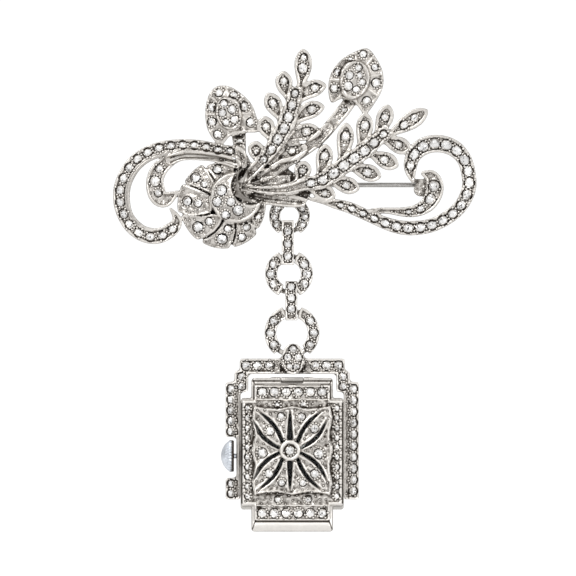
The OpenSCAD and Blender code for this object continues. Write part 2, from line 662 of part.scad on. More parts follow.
module watch_case() {
    color(silver) difference() {
        union() {
            slab(case_back_front + 0.5, case_front) watch_plan(0, foot_rise);
            slab(case_back_front, case_back_front + 0.5) watch_plan(0.6, foot_rise);
            translate([watch_x - knuckle_half, -hinge_front, hinge_y - knuckle_radius])
                cube([2 * knuckle_half, hinge_front - case_front + 0.5, 2 * knuckle_radius]);
            translate([watch_x - knuckle_half, -hinge_front, hinge_y]) rotate([0, 90, 0])
                cylinder(2 * knuckle_half, knuckle_radius, knuckle_radius, $fn = round_faces);
            translate([watch_x - knuckle_half - 1.4, -hinge_front, hinge_y]) rotate([0, 90, 0])
                cylinder(2 * knuckle_half + 2.8, hinge_pin_radius, hinge_pin_radius, $fn = round_faces);
        }
        slab(dial_front - 0.4, case_front + 1) dial_plan();
        crown_bore(stem_radius + 0.06);
    }
}

module dial() {
    color([0.05, 0.05, 0.05]) {
        slab(dial_front - 0.4, dial_front) dial_plan(0.03);
        slab(dial_front, dial_front + 0.5) translate([watch_x, panel_y - 0.4]) circle(0.2, $fn = 24);
    }
}

// A hand pointing along angle, with its eye round the dial's post
module hand(low, length, width, angle) {
    color([0.7, 0.69, 0.66])
    slab(low, low + 0.1) translate([watch_x, panel_y - 0.4]) rotate(angle) difference() {
        union() {
            circle(0.55, $fn = 24);
            polygon([[0, -width / 2], [length * 0.75, -width / 2], [length, 0], [length * 0.75, width / 2],
                [0, width / 2]]);
        }
        circle(0.22, $fn = 24);
    }
}

module hour_hand() {
    hand(dial_front + 0.12, 3, 0.5, 35);
}

module minute_hand() {
    hand(dial_front + 0.3, 4.6, 0.4, 150);
}

module crystal() {
    color([0.85, 0.9, 0.95, 0.35]) slab(case_front - 0.4, case_front) dial_plan(0.05);
}

// A slot of the flower, tapered at both ends, its rows being x, y, width from the boss
STEEP_SLOT = [[5.3, 6.6, 0.1], [3.4, 5, 0.5], [2.1, 3.3, 0.55], [1.2, 1.2, 0.5]];
FLAT_SLOT = [[6.2, 5.2, 0.1], [5, 2.9, 0.5], [3.5, 1.4, 0.55], [1.3, 0.1, 0.4]];
CENTRE_SLOT = [[0, 6.6, 0.15], [0, 4, 0.6], [0, 1.2, 0.9]];

module flower_slots() {
    difference() {
        translate([flower_x, panel_y]) for (mx = [0, 1], my = [0, 1])
            mirror([mx, 0]) mirror([0, my]) {
                ribbon(STEEP_SLOT);
                ribbon(FLAT_SLOT);
                if (mx == 0) ribbon(CENTRE_SLOT);
            }
        translate([flower_x, panel_y]) circle(1.6, $fn = 32);
    }
}

// Where the cover's stones and flower stand, inside its plain border
module field_plan() {
    translate([watch_x - 6.15, -55.9]) square([12.3, 22.45]);
    translate([watch_x - 8.2, -53.2]) square([16.4, 17.2]);
}

// Scalloped panel: each side bows out in the middle and at its corners
module panel_plan() {
    half = [6.6, 7.4];
    panel_waves = 0.08;
    translate([watch_x, panel_y]) polygon([
        for (a = [0 : 10 : 350])
            let (c = cos(a), s = sin(a))
            let (reach = min(half[0] / max(abs(c), 0.001), half[1] / max(abs(s), 0.001)))
            reach * (1 - panel_waves * (1 - cos(8 * a)) / 2) * [c, s]]);
}

module cover() {
    notch = knuckle_half + 0.1;
    color(silver) {
        difference() {
            union() {
                slab(cover_back, cover_back + cover_thickness) watch_plan(0, foot_rise + 0.5);
                slab(cover_back + cover_thickness, cover_back + cover_thickness + 0.25)
                    watch_plan(0.22, foot_rise + 0.5);
                tray(cover_back + cover_thickness + 0.25, cover_floor, cover_floor + 0.35) field_plan();
                slab(cover_floor, panel_top) panel_plan();
                slab(panel_top, panel_top + 0.2) difference() {
                    panel_plan();
                    offset(delta = -rim_width) panel_plan();
                }
                for (side = [-1, 1])
                    translate([watch_x + side * (notch + 0.8) - 0.8, -hinge_front, hinge_y]) rotate([0, 90, 0])
                        cylinder(1.6, knuckle_radius + 0.04, knuckle_radius + 0.04, $fn = round_faces);
            }
            // Recess behind the flower
            translate([watch_x - 5.9, -cover_back - 0.4, panel_y - 6.9]) cube([11.8, 1.4, 13.8]);
            // Notch round the case's knuckle
            translate([watch_x - notch, -panel_top, hinge_y - 0.55]) cube([2 * notch, panel_top, 2]);
            translate([watch_x - notch - 1.6, -hinge_front, hinge_y]) rotate([0, 90, 0])
                cylinder(2 * notch + 3.2, hinge_pin_radius + 0.05, hinge_pin_radius + 0.05, $fn = round_faces);
            slab(cover_back - 1, panel_top + 1) flower_slots();
        }
        slab(cover_back + 0.3, panel_top + 0.3) translate([flower_x, panel_y]) circle(1.75, $fn = round_faces);
    }
}

module crown() {
    radius = crown_diameter / 2;
    left = -12.17;
    inner = -10;
    rim = 0.9;
    color(silver) translate([0, -crown_front, crown_y]) {
        intersection() {
            translate([left, 0, 0]) rotate([0, 90, 0]) cylinder(inner - left, radius, radius, $fn = 48);
            translate([left + 3.1, 0, 0]) sphere(3.1, $fn = 64);
        }
        for (a = [0 : 20 : 340]) rotate([a, 0, 0])
            translate([inner - rim, -0.16, radius - 0.45]) cube([rim - 0.1, 0.32, 0.45]);
        translate([inner - 0.2, 0, 0]) rotate([0, 90, 0])
            cylinder(watch_x - case_half + 1.4 - inner + 0.2, stem_radius, stem_radius, $fn = round_faces);
    }
}

function from_rose(stones) = [for (s = stones) [rose_x + s[0], rose_y + s[1], s[2]]];

function leaflet_stones(leaflets) = [for (one = leaflets) [one[2], one[3], one[6]]];

module stones_left_scroll() {
    stones_on(stones_along(LEFT_SCROLL, 19, 4, 40, 0.94, 1.5, 0.6), scroll_floor);
    stones_on([[-22.4, 2.75, 1.4], [-23.15, 0.65, 1.7], [-22.6, -1.3, 1.3]], scroll_floor - 0.3);
}

module stones_right_scroll() {
    stones_on(stones_along(RIGHT_SCROLL, 22, 5.4, 47.3, 0.94, 1.85), scroll_floor + 0.02);
    stones_on([[19.1, -4.5, 1], [21.1, -4, 1.4], [22.7, -2.4, 1.8], [23.3, -0.2, 1.9]], scroll_floor - 0.25);
}

module stones_upper_leaf() {
    stones_on(stones_along(UPPER_MIDRIB, 7, 1, 13.4, 0.92, 1.8), midrib_floor);
    stones_on(leaflet_stones(UPPER_LEAFLETS), leaflet_floor);
    stones_on([[1.5, 19.4, 1.8], [1.6, 21.3, 1.3]], leaflet_floor);
}

module stones_right_leaf() {
    stones_on(stones_along(RIGHT_MIDRIB, 8, 1.2, 16, 0.92, 1.9), midrib_floor);
    stones_on(leaflet_stones(RIGHT_LEAFLETS), leaflet_floor);
    stones_on([[18.35, 10, 1.55], [20.1, 11.2, 1.4]], leaflet_floor);
}

module stones_buds() {
    stones_on_dome(LEFT_BUD_BAND, LEFT_OVAL[0], LEFT_OVAL[1], bud_radius, bud_edge, bud_top - 0.4);
    stones_on_dome(LEFT_BUD_CENTRE, LEFT_OVAL[0], LEFT_OVAL[1], bud_radius, bud_edge + 0.2, bud_top + 0.1);
    stones_on_dome(RIGHT_BUD_BAND, RIGHT_OVAL[0], RIGHT_OVAL[1], bud_radius, bud_edge, bud_top - 0.4);
    stones_on_dome(RIGHT_BUD_CENTRE, RIGHT_OVAL[0], RIGHT_OVAL[1], bud_radius, bud_edge + 0.2, bud_top + 0.1);
    stones_on([[-9.1, 7.4, 1.3], [8.3, 12.6, 1]], stalk_floor);
}

module stones_rose() {
    stones_on_dome(from_rose(PETAL_STONES), rose_x, rose_y, rose_radius, rose_edge - 0.35, rose_top - 0.35);
    stones_on_dome(from_rose(HEART_STONES), heart_x, heart_y, heart_radius, heart_top - 0.9,
        heart_top);
}

module stones_chain() {
    stones_on(concat(ring_stones(RING_TOP), ring_stones(RING_MIDDLE), ring_stones(RING_BOTTOM)),
        arm_floor);
    stones_on(concat(bar_stones(RING_TOP, RING_MIDDLE, BAR_UPPER),
        bar_stones(RING_MIDDLE, RING_BOTTOM, BAR_LOWER)), bar_floor);
}

module stones_frame() {
    for (side = [-1, 1]) {
        stones_on([for (x = [3.8, 5.75, 7.7]) [watch_x + side * x, -30.1, 1.5]], frame_floor);
        stones_on([for (y = [-31.9, -33.6]) [watch_x + side * 8.45, y, 1.3]], frame_floor);
    }
    stones_on([for (i = [0 : 4]) [watch_x - 10.2, -34 - i * 1.78, 1.4]], frame_floor);
    stones_on([for (i = [0 : 1]) [watch_x - 10.2, -49.75 - i * 1.7, 1.3]], frame_floor);
    stones_on([for (i = [0 : 9]) [watch_x + 10.2, -34 - i * 1.89, 1.4]], frame_floor);
    stones_on([[bail_x, -27.3, 1.3], [bail_x - 0.93, -28.75, 1.35], [bail_x + 0.93, -28.75, 1.35],
        [bail_x - 0.62, -30.3, 1.1], [bail_x + 0.62, -30.3, 1.1]], bail_floor);
}

module stones_cover() {
    stones_on([for (x = [-5 : 2 : 5]) [watch_x + x, -34.5, 1.5]], cover_floor);
    stones_on([for (x = [-5 : 2 : 5]) [watch_x + x, -54.7, 1.5]], cover_floor);
    stones_on([for (s = BAND_STONES) [watch_x + s[0], s[1], s[2]]], cover_floor);
    stones_on([for (x = [-7.45, 7.45], i = [0 : 9]) [watch_x + x, -37.2 - i * 1.63, 1]], cover_floor);
    stones_on([for (s = FLOWER_STONES) [flower_x + s[0], panel_y + s[1], s[2]]], panel_top);
    stones_on([[flower_x, panel_y, 1.5]], panel_top + 0.3);
}

spray();
pin_rivet();
pin_stem();
ring(RING_TOP);  // ring_top
bar(RING_TOP, RING_MIDDLE, BAR_UPPER);  // bar_upper
ring(RING_MIDDLE);  // ring_middle
bar(RING_MIDDLE, RING_BOTTOM, BAR_LOWER);  // bar_lower
ring(RING_BOTTOM);  // ring_bottom
stones_left_scroll();
stones_right_scroll();
stones_upper_leaf();
stones_right_leaf();
stones_buds();
stones_rose();
stones_chain();
pendant_frame();
stones_frame();
watch_case();
dial();
hour_hand();
minute_hand();
crystal();
cover();
stones_cover();
crown();
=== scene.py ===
"""Looks of the watch brooch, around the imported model.

Each metal node's front is read off the frame as a grid of heights. The heights are worn down, cut with the
stones' seats and the chased lines, and made into a fine mesh that stands for the node. Stones, grains and the
dial's printing are added as pieces of their own.

All sizes are in millimetres, in plan coordinates: x to the right, h up, and f forward, away from the cloth.
"""
import functools
import itertools
import math
import random

import bpy
import numpy as np
from mathutils import Matrix, Vector
from mathutils.bvhtree import BVHTree

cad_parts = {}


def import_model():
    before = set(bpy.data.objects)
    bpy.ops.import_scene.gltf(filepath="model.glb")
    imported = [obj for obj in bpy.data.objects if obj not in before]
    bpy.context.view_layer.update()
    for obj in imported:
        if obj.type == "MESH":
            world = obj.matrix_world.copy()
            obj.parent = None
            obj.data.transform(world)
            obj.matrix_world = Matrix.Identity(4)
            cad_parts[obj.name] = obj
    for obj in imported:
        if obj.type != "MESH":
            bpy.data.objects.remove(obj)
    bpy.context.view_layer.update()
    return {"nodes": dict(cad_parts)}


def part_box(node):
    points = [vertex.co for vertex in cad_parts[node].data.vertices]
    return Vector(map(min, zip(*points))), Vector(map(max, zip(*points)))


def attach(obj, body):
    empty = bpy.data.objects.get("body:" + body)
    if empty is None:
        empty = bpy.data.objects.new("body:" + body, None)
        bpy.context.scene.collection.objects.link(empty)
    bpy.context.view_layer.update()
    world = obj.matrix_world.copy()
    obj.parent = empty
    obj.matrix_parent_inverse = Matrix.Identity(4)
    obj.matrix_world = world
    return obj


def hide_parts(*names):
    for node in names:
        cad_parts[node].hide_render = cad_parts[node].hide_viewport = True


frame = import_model()

MM = 0.001
SEED = 7
rng = random.Random(SEED)

# Cell of each relief's grid
FINE_CELL = 0.07
SPRAY_CELL = 0.1
# How far wear rounds the edges inside a relief, and at its outline
WEAR = 0.055
EDGE_ROUND = 0.16
# Radius over which a point counts as hollow, and the depth that makes it black
HOLLOW_RADIUS = 0.3
HOLLOW_DEPTH = 0.32

# Reach over which a floor looks for the rims above it, and how much the rims are widened
RIM_REACH = 1.4
RIM_GROWTH = 0.17
# How far in front of all pieces, or behind them, rays start
RAY_START = 30
# Stands for no limit to how far back a relief reaches
NO_LIMIT = -99

# Flat backs of the spray, the bars and the bail, and the h at which the bail meets the frame
SPRAY_BACK = 2.6
BAR_BACK = 2.45
BAIL_BACK = 2.8
FRAME_TOP = -28.92
# Middles of the watch, its cover's flower, the rose's heart, the bite out of the heart, and the knot
WATCH_X = -0.3
FLOWER = (-0.67, -44.25)
HEART = (-9.7, -2.1)
BITE = (-7.3, -0.2)
KNOT = (-8.7, -0.5)
# Middles and radii of the rose and of the calyx at its right
ROSE, ROSE_RADIUS = (-11.6, -3.3), 7.9
CALYX, CALYX_RADIUS = (-7.3, 0), 2.3
# The x right of which the spray's fittings are the catch
CATCH_START = 18
# The loop behind the bail: its middle, half its width and its lowest h
LOOP_X, LOOP_HALF, LOOP_FOOT = -0.33, 0.9, -30
# The case's knuckle: half its width and its lowest h
KNUCKLE_HALF, KNUCKLE_FOOT = 1.85, -33


# Plan coordinates and meshes

def world(point):
    """A plan point in Blender's metres."""
    return (point[0] * MM, -point[2] * MM, point[1] * MM)


def plan(co):
    """A point in Blender's metres as a plan point."""
    return (co[0] / MM, co[2] / MM, -co[1] / MM)


def add_object(name, data):
    obj = bpy.data.objects.new(name, data)
    bpy.context.scene.collection.objects.link(obj)
    return obj


def weld(node):
    """The places of a node's vertices, each once, and the number of every vertex's place."""
    places, numbers, owner = [], {}, []
    for v in frame["nodes"][node].data.vertices:
        place = plan(v.co)
        key = tuple(round(c, 4) for c in place)
        if key not in numbers:
            numbers[key] = len(places)
            places.append(place)
        owner.append(numbers[key])
    return places, owner


def ring_quads(start, rings, around):
    """Quads between rings of points that follow each other."""
    return [(start + r * around + k, start + r * around + (k + 1) % around,
             start + (r + 1) * around + (k + 1) % around, start + (r + 1) * around + k)
            for r in range(rings - 1) for k in range(around)]


def new_mesh(name, points, faces, smooth=True):
    """A piece from plan points."""
    points = np.asarray(points, float)
    places = np.stack([points[:, 0], -points[:, 2], points[:, 1]], 1) * MM
    mesh = bpy.data.meshes.new(name)
    mesh.from_pydata(places.tolist(), [], [tuple(int(i) for i in f) for f in faces])
    mesh.validate()
    mesh.polygons.foreach_set("use_smooth", [smooth] * len(mesh.polygons))
    mesh.update()
    return add_object(name, mesh)


def put_attribute(piece, name, values, domain="POINT"):
    layer = piece.data.attributes.new(name, "FLOAT", domain)
    layer.data.foreach_set("value", np.ascontiguousarray(values, np.float32))


def mark(piece, dark, bare):
    """Gives a piece its tarnish and painted shade, and its bare metal, for every vertex or for all alike."""
    for name, values in (("dark", dark), ("bare", bare)):
        put_attribute(piece, name, np.broadcast_to(values, len(piece.data.vertices)))


# Reliefs

def tree_of(node):
    """A node's faces in plan coordinates, for rays."""
    mesh = frame["nodes"][node].data
    points = [plan(v.co) for v in mesh.vertices]
    return BVHTree.FromPolygons(points, [p.vertices[:] for p in mesh.polygons])


def first_hits(tree, x, h, start, wanted):
    """Levels where rays from the front or the back first meet a node, nan where they miss it."""
    levels = np.full(wanted.shape, np.nan)
    way = Vector((0, 0, -math.copysign(1, start)))
    for j, i in np.argwhere(wanted):
        hit = tree.ray_cast(Vector((x[i], h[j], start)), way)[0]
        if hit is not None:
            levels[j, i] = hit.z
    return levels


def shifted(grid, axis, reach):
    """The grid moved by each whole step from -reach to reach along an axis."""
    wide = np.pad(grid, [(reach, reach) if a == axis else (0, 0) for a in (0, 1)], mode="edge")
    size = grid.shape[axis]
    return (np.take(wide, np.arange(k, k + size), axis) for k in range(2 * reach + 1))


def blur(grid, sigma):
    """Gaussian blur with sigma in cells."""
    reach = math.ceil(3 * sigma)
    weights = np.exp(-0.5 * (np.arange(-reach, reach + 1) / sigma) ** 2)
    weights /= weights.sum()
    for axis in (0, 1):
        grid = sum(w * moved for w, moved in zip(weights, shifted(grid, axis, reach)))
    return grid


def spread(grid, reach, pick):
    """Sliding maximum or minimum over a square of 2 * reach + 1 cells."""
    for axis in (0, 1):
        grid = functools.reduce(pick, shifted(grid, axis, reach))
    return grid


def rise(values, low, high):
    """0 below low, 1 above high, smooth between."""
    t = np.clip((values - low) / (high - low), 0, 1)
    return t * t * (3 - 2 * t)


def bell(values, width):
    """1 at 0, and falling off over a width on both sides."""
    return np.exp(-((values / width) ** 2))


def polar(centre, reach, turn):
    """The point at a distance from a centre, at a turn from the x axis."""
    return centre[0] + reach * math.cos(turn), centre[1] + reach * math.sin(turn)


def arc(centre, radius, start, end, count):
    """Points on a circle from one turn in degrees to another."""
    return [polar(centre, radius, math.radians(start + (end - start) * k / count)) for k in range(count + 1)]


def outline_edges(on, j, i):
    """Rows and columns of both ends of each cell side that has no cell beyond it."""
    padded = np.pad(on, 1)
    starts, ends = [], []
    for step_j, step_i, a, b in ((-1, 0, (0, 0), (0, 1)), (0, 1, (0, 1), (1, 1)),
                                 (1, 0, (1, 1), (1, 0)), (0, -1, (1, 0), (0, 0))):
        free = ~padded[j + 1 + step_j, i + 1 + step_i]
        starts.append(np.stack([j[free] + a[0], i[free] + a[1]]))
        ends.append(np.stack([j[free] + b[0], i[free] + b[1]]))
    return np.concatenate(starts, 1), np.concatenate(ends, 1)


def solid_corners(solid):
    """How many corners of each cell are solid."""
    count = solid.astype(int)
    return count[:-1, :-1] + count[1:, :-1] + count[:-1, 1:] + count[1:, 1:]


def corners(cells, shape):
    """The grid points at the corners of some cells, and a number for each."""
    used = np.zeros(shape, bool)
    for dj, di in itertools.product((0, 1), repeat=2):
        used[dj:dj + cells.shape[0], di:di + cells.shape[1]] |= cells
    index = -np.ones(shape, int)
    index[used] = np.arange(used.sum())
    return used, index


def even_outline(on, gx, gh):
    """Evens out the outline's points along it, so that the walls show no ribs."""
    a, b = outline_edges(on, *np.nonzero(on))
    first = a[0] * gx.shape[1] + a[1]
    second = b[0] * gx.shape[1] + b[1]
    count = np.bincount(first, minlength=gx.size) + np.bincount(second, minlength=gx.size)
    on_line = count == 2
    for _ in range(4):
        for grid in (gx, gh):
            flat = grid.reshape(-1)
            total = np.bincount(first, flat[second], gx.size) + np.bincount(second, flat[first], gx.size)
            flat[on_line] = 0.5 * flat[on_line] + 0.25 * total[on_line]


class Relief:
    """Front and back heights of one node on a grid of square cells."""

    def __init__(self, node, cell, back_limit=NO_LIMIT, limit_above=-math.inf, corner=0.1):
        """back_limit holds the back to the front of a level, above the h limit_above."""
        self.node, self.cell, self.corner = node, cell, corner
        tree = tree_of(node)
        self.low, self.high = low, high = [plan(c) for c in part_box(node)]
        margin = 4 * cell
        half = cell / 2
        left, bottom = low[0] - margin, low[1] - margin
        columns = int((high[0] + margin - left) / cell) + 1
        rows = int((high[1] + margin - bottom) / cell) + 1
        fine_x = left + half * np.arange(2 * columns)
        fine_h = bottom + half * np.arange(2 * rows)
        fine = first_hits(tree, fine_x, fine_h, RAY_START, np.ones((2 * rows, 2 * columns), bool))
        solid = ~np.isnan(fine)
        weight = blur(solid.astype(float), 2 * WEAR / cell)
        heights = blur(np.where(solid, fine, 0), 2 * WEAR / cell)
        heights = np.where(weight > 1e-3, heights / np.maximum(weight, 1e-3), 0)
        wide = blur(solid.astype(float), 2 * EDGE_ROUND / 1.6 / cell)
        self.x, self.h = fine_x[::2], fine_h[::2]
        self.mask = blur(solid.astype(float), corner / half)[::2, ::2]
        self.front = heights[::2, ::2]
        self.near_edge = np.clip(2 * (1 - wide[::2, ::2]), 0, 1)
        there = self.mask > 0.02
        limit = np.where(self.h > limit_above, back_limit, NO_LIMIT)[:, None]
        back = np.fmax(first_hits(tree, self.x, self.h, -RAY_START, there), limit)
        there &= back > NO_LIMIT
        known = blur(there.astype(float), 1.0)
        filled = blur(np.where(there, back, 0), 1.0)
        self.back = np.where(there, back, filled / np.maximum(known, 1e-3))
        self.dark = np.zeros_like(self.front)
        self.shine = np.zeros_like(self.front)
        # How strongly high ground is rubbed bare, and what all tarnish and painted shade is multiplied by
        self.rubbing, self.soot = 3.0, 1.0
        self.thicken_rims()

    def depth(self):
        """How far each point lies below the rims around it."""
        inside = self.mask > 0.5
        reach = int(RIM_REACH / self.cell)
        lid = spread(np.where(inside, self.front, -99), reach, np.maximum)
        lid = spread(np.where(inside, lid, 99), reach, np.minimum)
        return np.where(inside, lid - self.front, 0)

    def thicken_rims(self):
        """Widens the rims, which lie where the ground beside them is only so deep."""
        depth = self.depth()
        wide = spread(self.front, max(1, round(RIM_GROWTH / self.cell)), np.maximum) - 0.04
        self.front = np.where((depth > 0.15) & (depth < 0.9), np.maximum(self.front, wide), self.front)
        self.front = blur(self.front, 0.6)

    def dome_floor(self):
        """1 on ground that has nothing lower beside it, 0 on rims, for pieces whose ground is domed."""
        step = self.front - spread(self.front, round(0.4 / self.cell), np.minimum)
        return blur(((step < 0.22) & (self.mask > 0.9)).astype(float), 0.08 / self.cell)

    def tarnish(self, seed, dark, low=0.06, high=0.3, within=1.0, domes=0.0):
        """Blackens and pits the floors, once the rims are all raised."""
        grain = np.random.default_rng(seed).standard_normal(self.front.shape)
        coarse, fine = blur(grain, 0.16 / self.cell), blur(grain, 0.08 / self.cell)
        coarse, fine = coarse / coarse.std(), fine / fine.std()
        floor = np.maximum(rise(self.depth(), low, high) * within, domes)
        self.floor = floor
        self.raw = self.front.copy()
        self.front += floor * (0.035 * coarse + 0.015 * fine) + 0.006 * (1 - floor) * coarse
        self.dark = np.maximum(self.dark, floor * np.clip(dark - 0.09 * coarse, 0, 1))

    def window(self, x, h, reach):
        """The part of the grid around a point, and how far each of its cells is from the point."""
        i0, i1 = np.searchsorted(self.x, [x - reach, x + reach])
        j0, j1 = np.searchsorted(self.h, [h - reach, h + reach])
        dx, dh = self.x[None, i0:i1] - x, self.h[j0:j1, None] - h
        return (slice(j0, j1), slice(i0, i1)), np.sqrt(dx * dx + dh * dh)

    def far_from(self, x, h):
        """How far each cell of the grid is from a point."""
        return np.hypot(self.x[None, :] - x, self.h[:, None] - h)

    def at(self, x, h):
        """Row and column of the cell nearest to a point."""
        i = int(np.clip(round((x - self.x[0]) / self.cell), 0, len(self.x) - 1))
        j = int(np.clip(round((h - self.h[0]) / self.cell), 0, len(self.h) - 1))
        return j, i

    def seat(self, stone):
        """Cuts a stone's seat: a narrow dark moat with a thin raised collar."""
        (x, h, foot), radius = stone["foot"], stone["radius"]
        part, distance = self.window(x, h, radius + 0.4)
        collar = 0.05 * bell(distance - radius - 0.2, 0.07)
        moat = bell(distance - radius - 0.03, 0.1)
        self.front[part] += (collar - 0.16 * moat) * (1 - 0.8 * rise(self.near_edge[part], 0.15, 0.7))
        ground = np.minimum(self.front[part], foot - 0.05)
        self.front[part] = np.where(distance < radius, ground, self.front[part])
        self.dark[part] = np.maximum(self.dark[part], moat)

    def distance(self, points, width, steps):
        """Distance from a smooth curve, as far as a line of this width needs it."""
        track = smooth_path(points, steps)
        gap = self.cell * 0.7
        dense = [track[0]]
        for a, b in itertools.pairwise(track):
            count = max(1, int(math.dist(a, b) / gap))
            dense += [(a[0] + (b[0] - a[0]) * k / count, a[1] + (b[1] - a[1]) * k / count)
                      for k in range(1, count + 1)]
        nearest = np.full(self.front.shape, 9.0)
        for x, h in dense:
            part, distance = self.window(x, h, width * 1.6)
            nearest[part] = np.minimum(nearest[part], distance)
        return nearest

    def ring_grains(self, grains):
        """Cuts a fine dark ring round each grain."""
        for x, h, _, size in grains:
            part, distance = self.window(x, h, size + 0.3)
            ring = bell(distance - size - 0.04, 0.08)
            self.front[part] -= 0.04 * ring
            self.dark[part] = np.maximum(self.dark[part], 0.6 * ring)

    def line(self, points, width, depth, dark=0.9, steps=6):
        """Chases a line of a given width and depth along a smooth curve. A negative depth raises a thread."""
        shape = bell(self.distance(points, width, steps), width / 2)
        self.front -= depth * shape
        if depth > 0:
            self.dark = np.maximum(self.dark, dark * shape)

    def hollow(self):
        """1 in a deep hollow, 0 on level ground, and less where the ground stands up."""
        inside = (self.mask > 0.5).astype(float)
        sigma = HOLLOW_RADIUS / self.cell
        around = blur(self.front * inside, sigma) / np.maximum(blur(inside, sigma), 0.05)
        return np.clip((around - self.front) / HOLLOW_DEPTH, -0.3, 1)

    def band(self, points, width, height):
        """Lifts a strip along a smooth curve."""
        nearest = self.distance(points, width, 6)
        self.front += height * (1 - rise(nearest, width / 2 - 0.15, width / 2 + 0.15))

    def in_rectangle(self, centre, half_width, half_height):
        """Where the grid lies inside a rectangle."""
        across, upright = np.abs(self.x - centre[0]), np.abs(self.h - centre[1])
        return (across < half_width)[None, :] & (upright < half_height)[:, None]

    def outline(self):
        """Grid points, of which the outer ones are drawn onto the outline, and the cells inside it."""
        cell = self.cell
        grow = np.gradient(self.mask, cell)
        slope = np.maximum(np.hypot(grow[0], grow[1]), 1e-6)
        share = np.clip(self.mask, 0.001, 0.999)
        # The blurred mask falls off like a logistic curve, which gives the distance to the outline
        short = np.clip(self.corner / 1.702 * np.log((1 - share) / share), 0, 1.5 * cell)
        inside = self.mask > 0.5
        gx = np.where(inside, 0, short * grow[1] / slope) + self.x[None, :]
        gh = np.where(inside, 0, short * grow[0] / slope) + self.h[:, None]
        on = solid_corners(inside) > 0
        even_outline(on, gx, gh)
        return np.clip(gx, self.low[0], self.high[0]), np.clip(gh, self.low[1], self.high[1]), on

    def build(self, name, body, cuts=(), back_stride=2, wall_dark=0.3):
        """Meshes the relief in silver. cuts are the x at which it is parted into several pieces."""
        self.wall_dark = np.broadcast_to(wall_dark, self.mask.shape)
        gx, gh, on = self.outline()
        t = self.near_edge
        drop = EDGE_ROUND * (1 - np.sqrt(np.clip(1 - t * t, 0, 1)))
        thick = np.maximum(self.front - self.back, 0.15)
        front = self.back + np.maximum(thick - np.minimum(drop, thick * 0.45), 0.1)
        hollow = self.hollow()
        # Hollows darken, partly with the oxide that gathers in them and partly with painted shade
        dark = np.maximum(hollow, 0) * 0.45 + self.dark
        # Near the outline the darkness fades, and painted shade is laid along the very edge, where it slopes
        # away from the light
        dark = np.clip(self.soot * dark, 0, 1) * (1 - 0.85 * rise(t, 0.15, 0.7))
        dark += 0.12 * rise(t, 0.15, 0.5) + 0.22 * rise(t, 0.6, 0.95)
        bare = np.clip(np.maximum(-hollow * self.rubbing, self.shine), 0, 1) * (1 - 0.7 * rise(t, 0.2, 0.7))
        made = []
        edges = [-math.inf, *cuts, math.inf]
        middle = (self.x[:-1] + self.x[1:]) / 2
        for k, (start, end) in enumerate(itertools.pairwise(edges), 1):
            part = on & ((middle >= start) & (middle < end))[None, :]
            label = f"{name}_{k}" if cuts else name
            made.append(self.sheet(label, part, on, gx, gh, front, dark, bare))
        made.append(self.back_sheet(f"{name}_back", back_stride, gx, gh))
        for piece in made:
            finish_piece(piece, body, silver)
            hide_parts(self.node)

    def sheet(self, label, part, on, gx, gh, front, dark, bare):
        """The front of some cells, with walls down to the back where the outline runs."""
        used, index = corners(part, self.mask.shape)
        count = int(used.sum())
        foot = np.minimum(self.back[used], front[used] - 0.05)
        under = front[used] - np.minimum(0.15, 0.4 * (front[used] - foot))
        levels = [np.stack([gx[used], gh[used], level], 1) for level in (front[used], under, foot)]
        j, i = np.nonzero(part)
        faces = [np.stack([index[j, i], index[j, i + 1], index[j + 1, i + 1], index[j + 1, i]], 1)]
        a, b = outline_edges(on, j, i)
        first, second = index[a[0], a[1]], index[b[0], b[1]]
        for above, below in ((0, count), (count, 2 * count)):
            faces.append(np.stack([second + above, first + above, first + below, second + below], 1))
        quads = np.concatenate(faces)
        points = np.concatenate(levels)
        darkness = np.concatenate([dark[used], self.wall_dark[used], self.wall_dark[used]])
        bareness = np.concatenate([bare[used], np.zeros(2 * count)])
        keep = np.unique(quads)
        remap = -np.ones(len(points), int)
        remap[keep] = np.arange(len(keep))
        piece = new_mesh(label, points[keep], remap[quads])
        mark(piece, darkness[keep], bareness[keep])
        return piece

    def back_sheet(self, label, stride, gx, gh):
        """The back, on every few cells of the grid."""
        x, h, f, mask = (grid[::stride, ::stride] for grid in (gx, gh, self.back, self.mask))
        cells = solid_corners(mask > 0.35) >= 3
        used, index = corners(cells, x.shape)
        j, i = np.nonzero(cells)
        quads = np.stack([index[j, i], index[j + 1, i], index[j + 1, i + 1], index[j, i + 1]], 1)
        piece = new_mesh(label, np.stack([x[used], h[used], f[used]], 1), quads)
        mark(piece, 0.12, 0)
        return piece


def smooth_path(points, steps):
    """Points on the smooth curve through the given ones."""
    if len(points) < 3 or steps < 2:
        return [tuple(p[:2]) for p in points]
    out = []
    last = len(points) - 1
    for k in range(last):
        a, b, c, d = (np.array(points[min(max(m, 0), last)][:2], float) for m in (k - 1, k, k + 1, k + 2))
        for s in range(steps):
            t = s / steps
            p = 0.5 * (2 * b + (c - a) * t + (2 * a - 5 * b + 4 * c - d) * t * t
                       + (3 * b - 3 * c + d - a) * t ** 3)
            out.append((float(p[0]), float(p[1])))
    out.append((float(points[-1][0]), float(points[-1][1])))
    return out


def finish_piece(piece, body, material):
    piece.data.materials.clear()
    piece.data.materials.append(material)
    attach(piece, body)
    return piece


# Materials

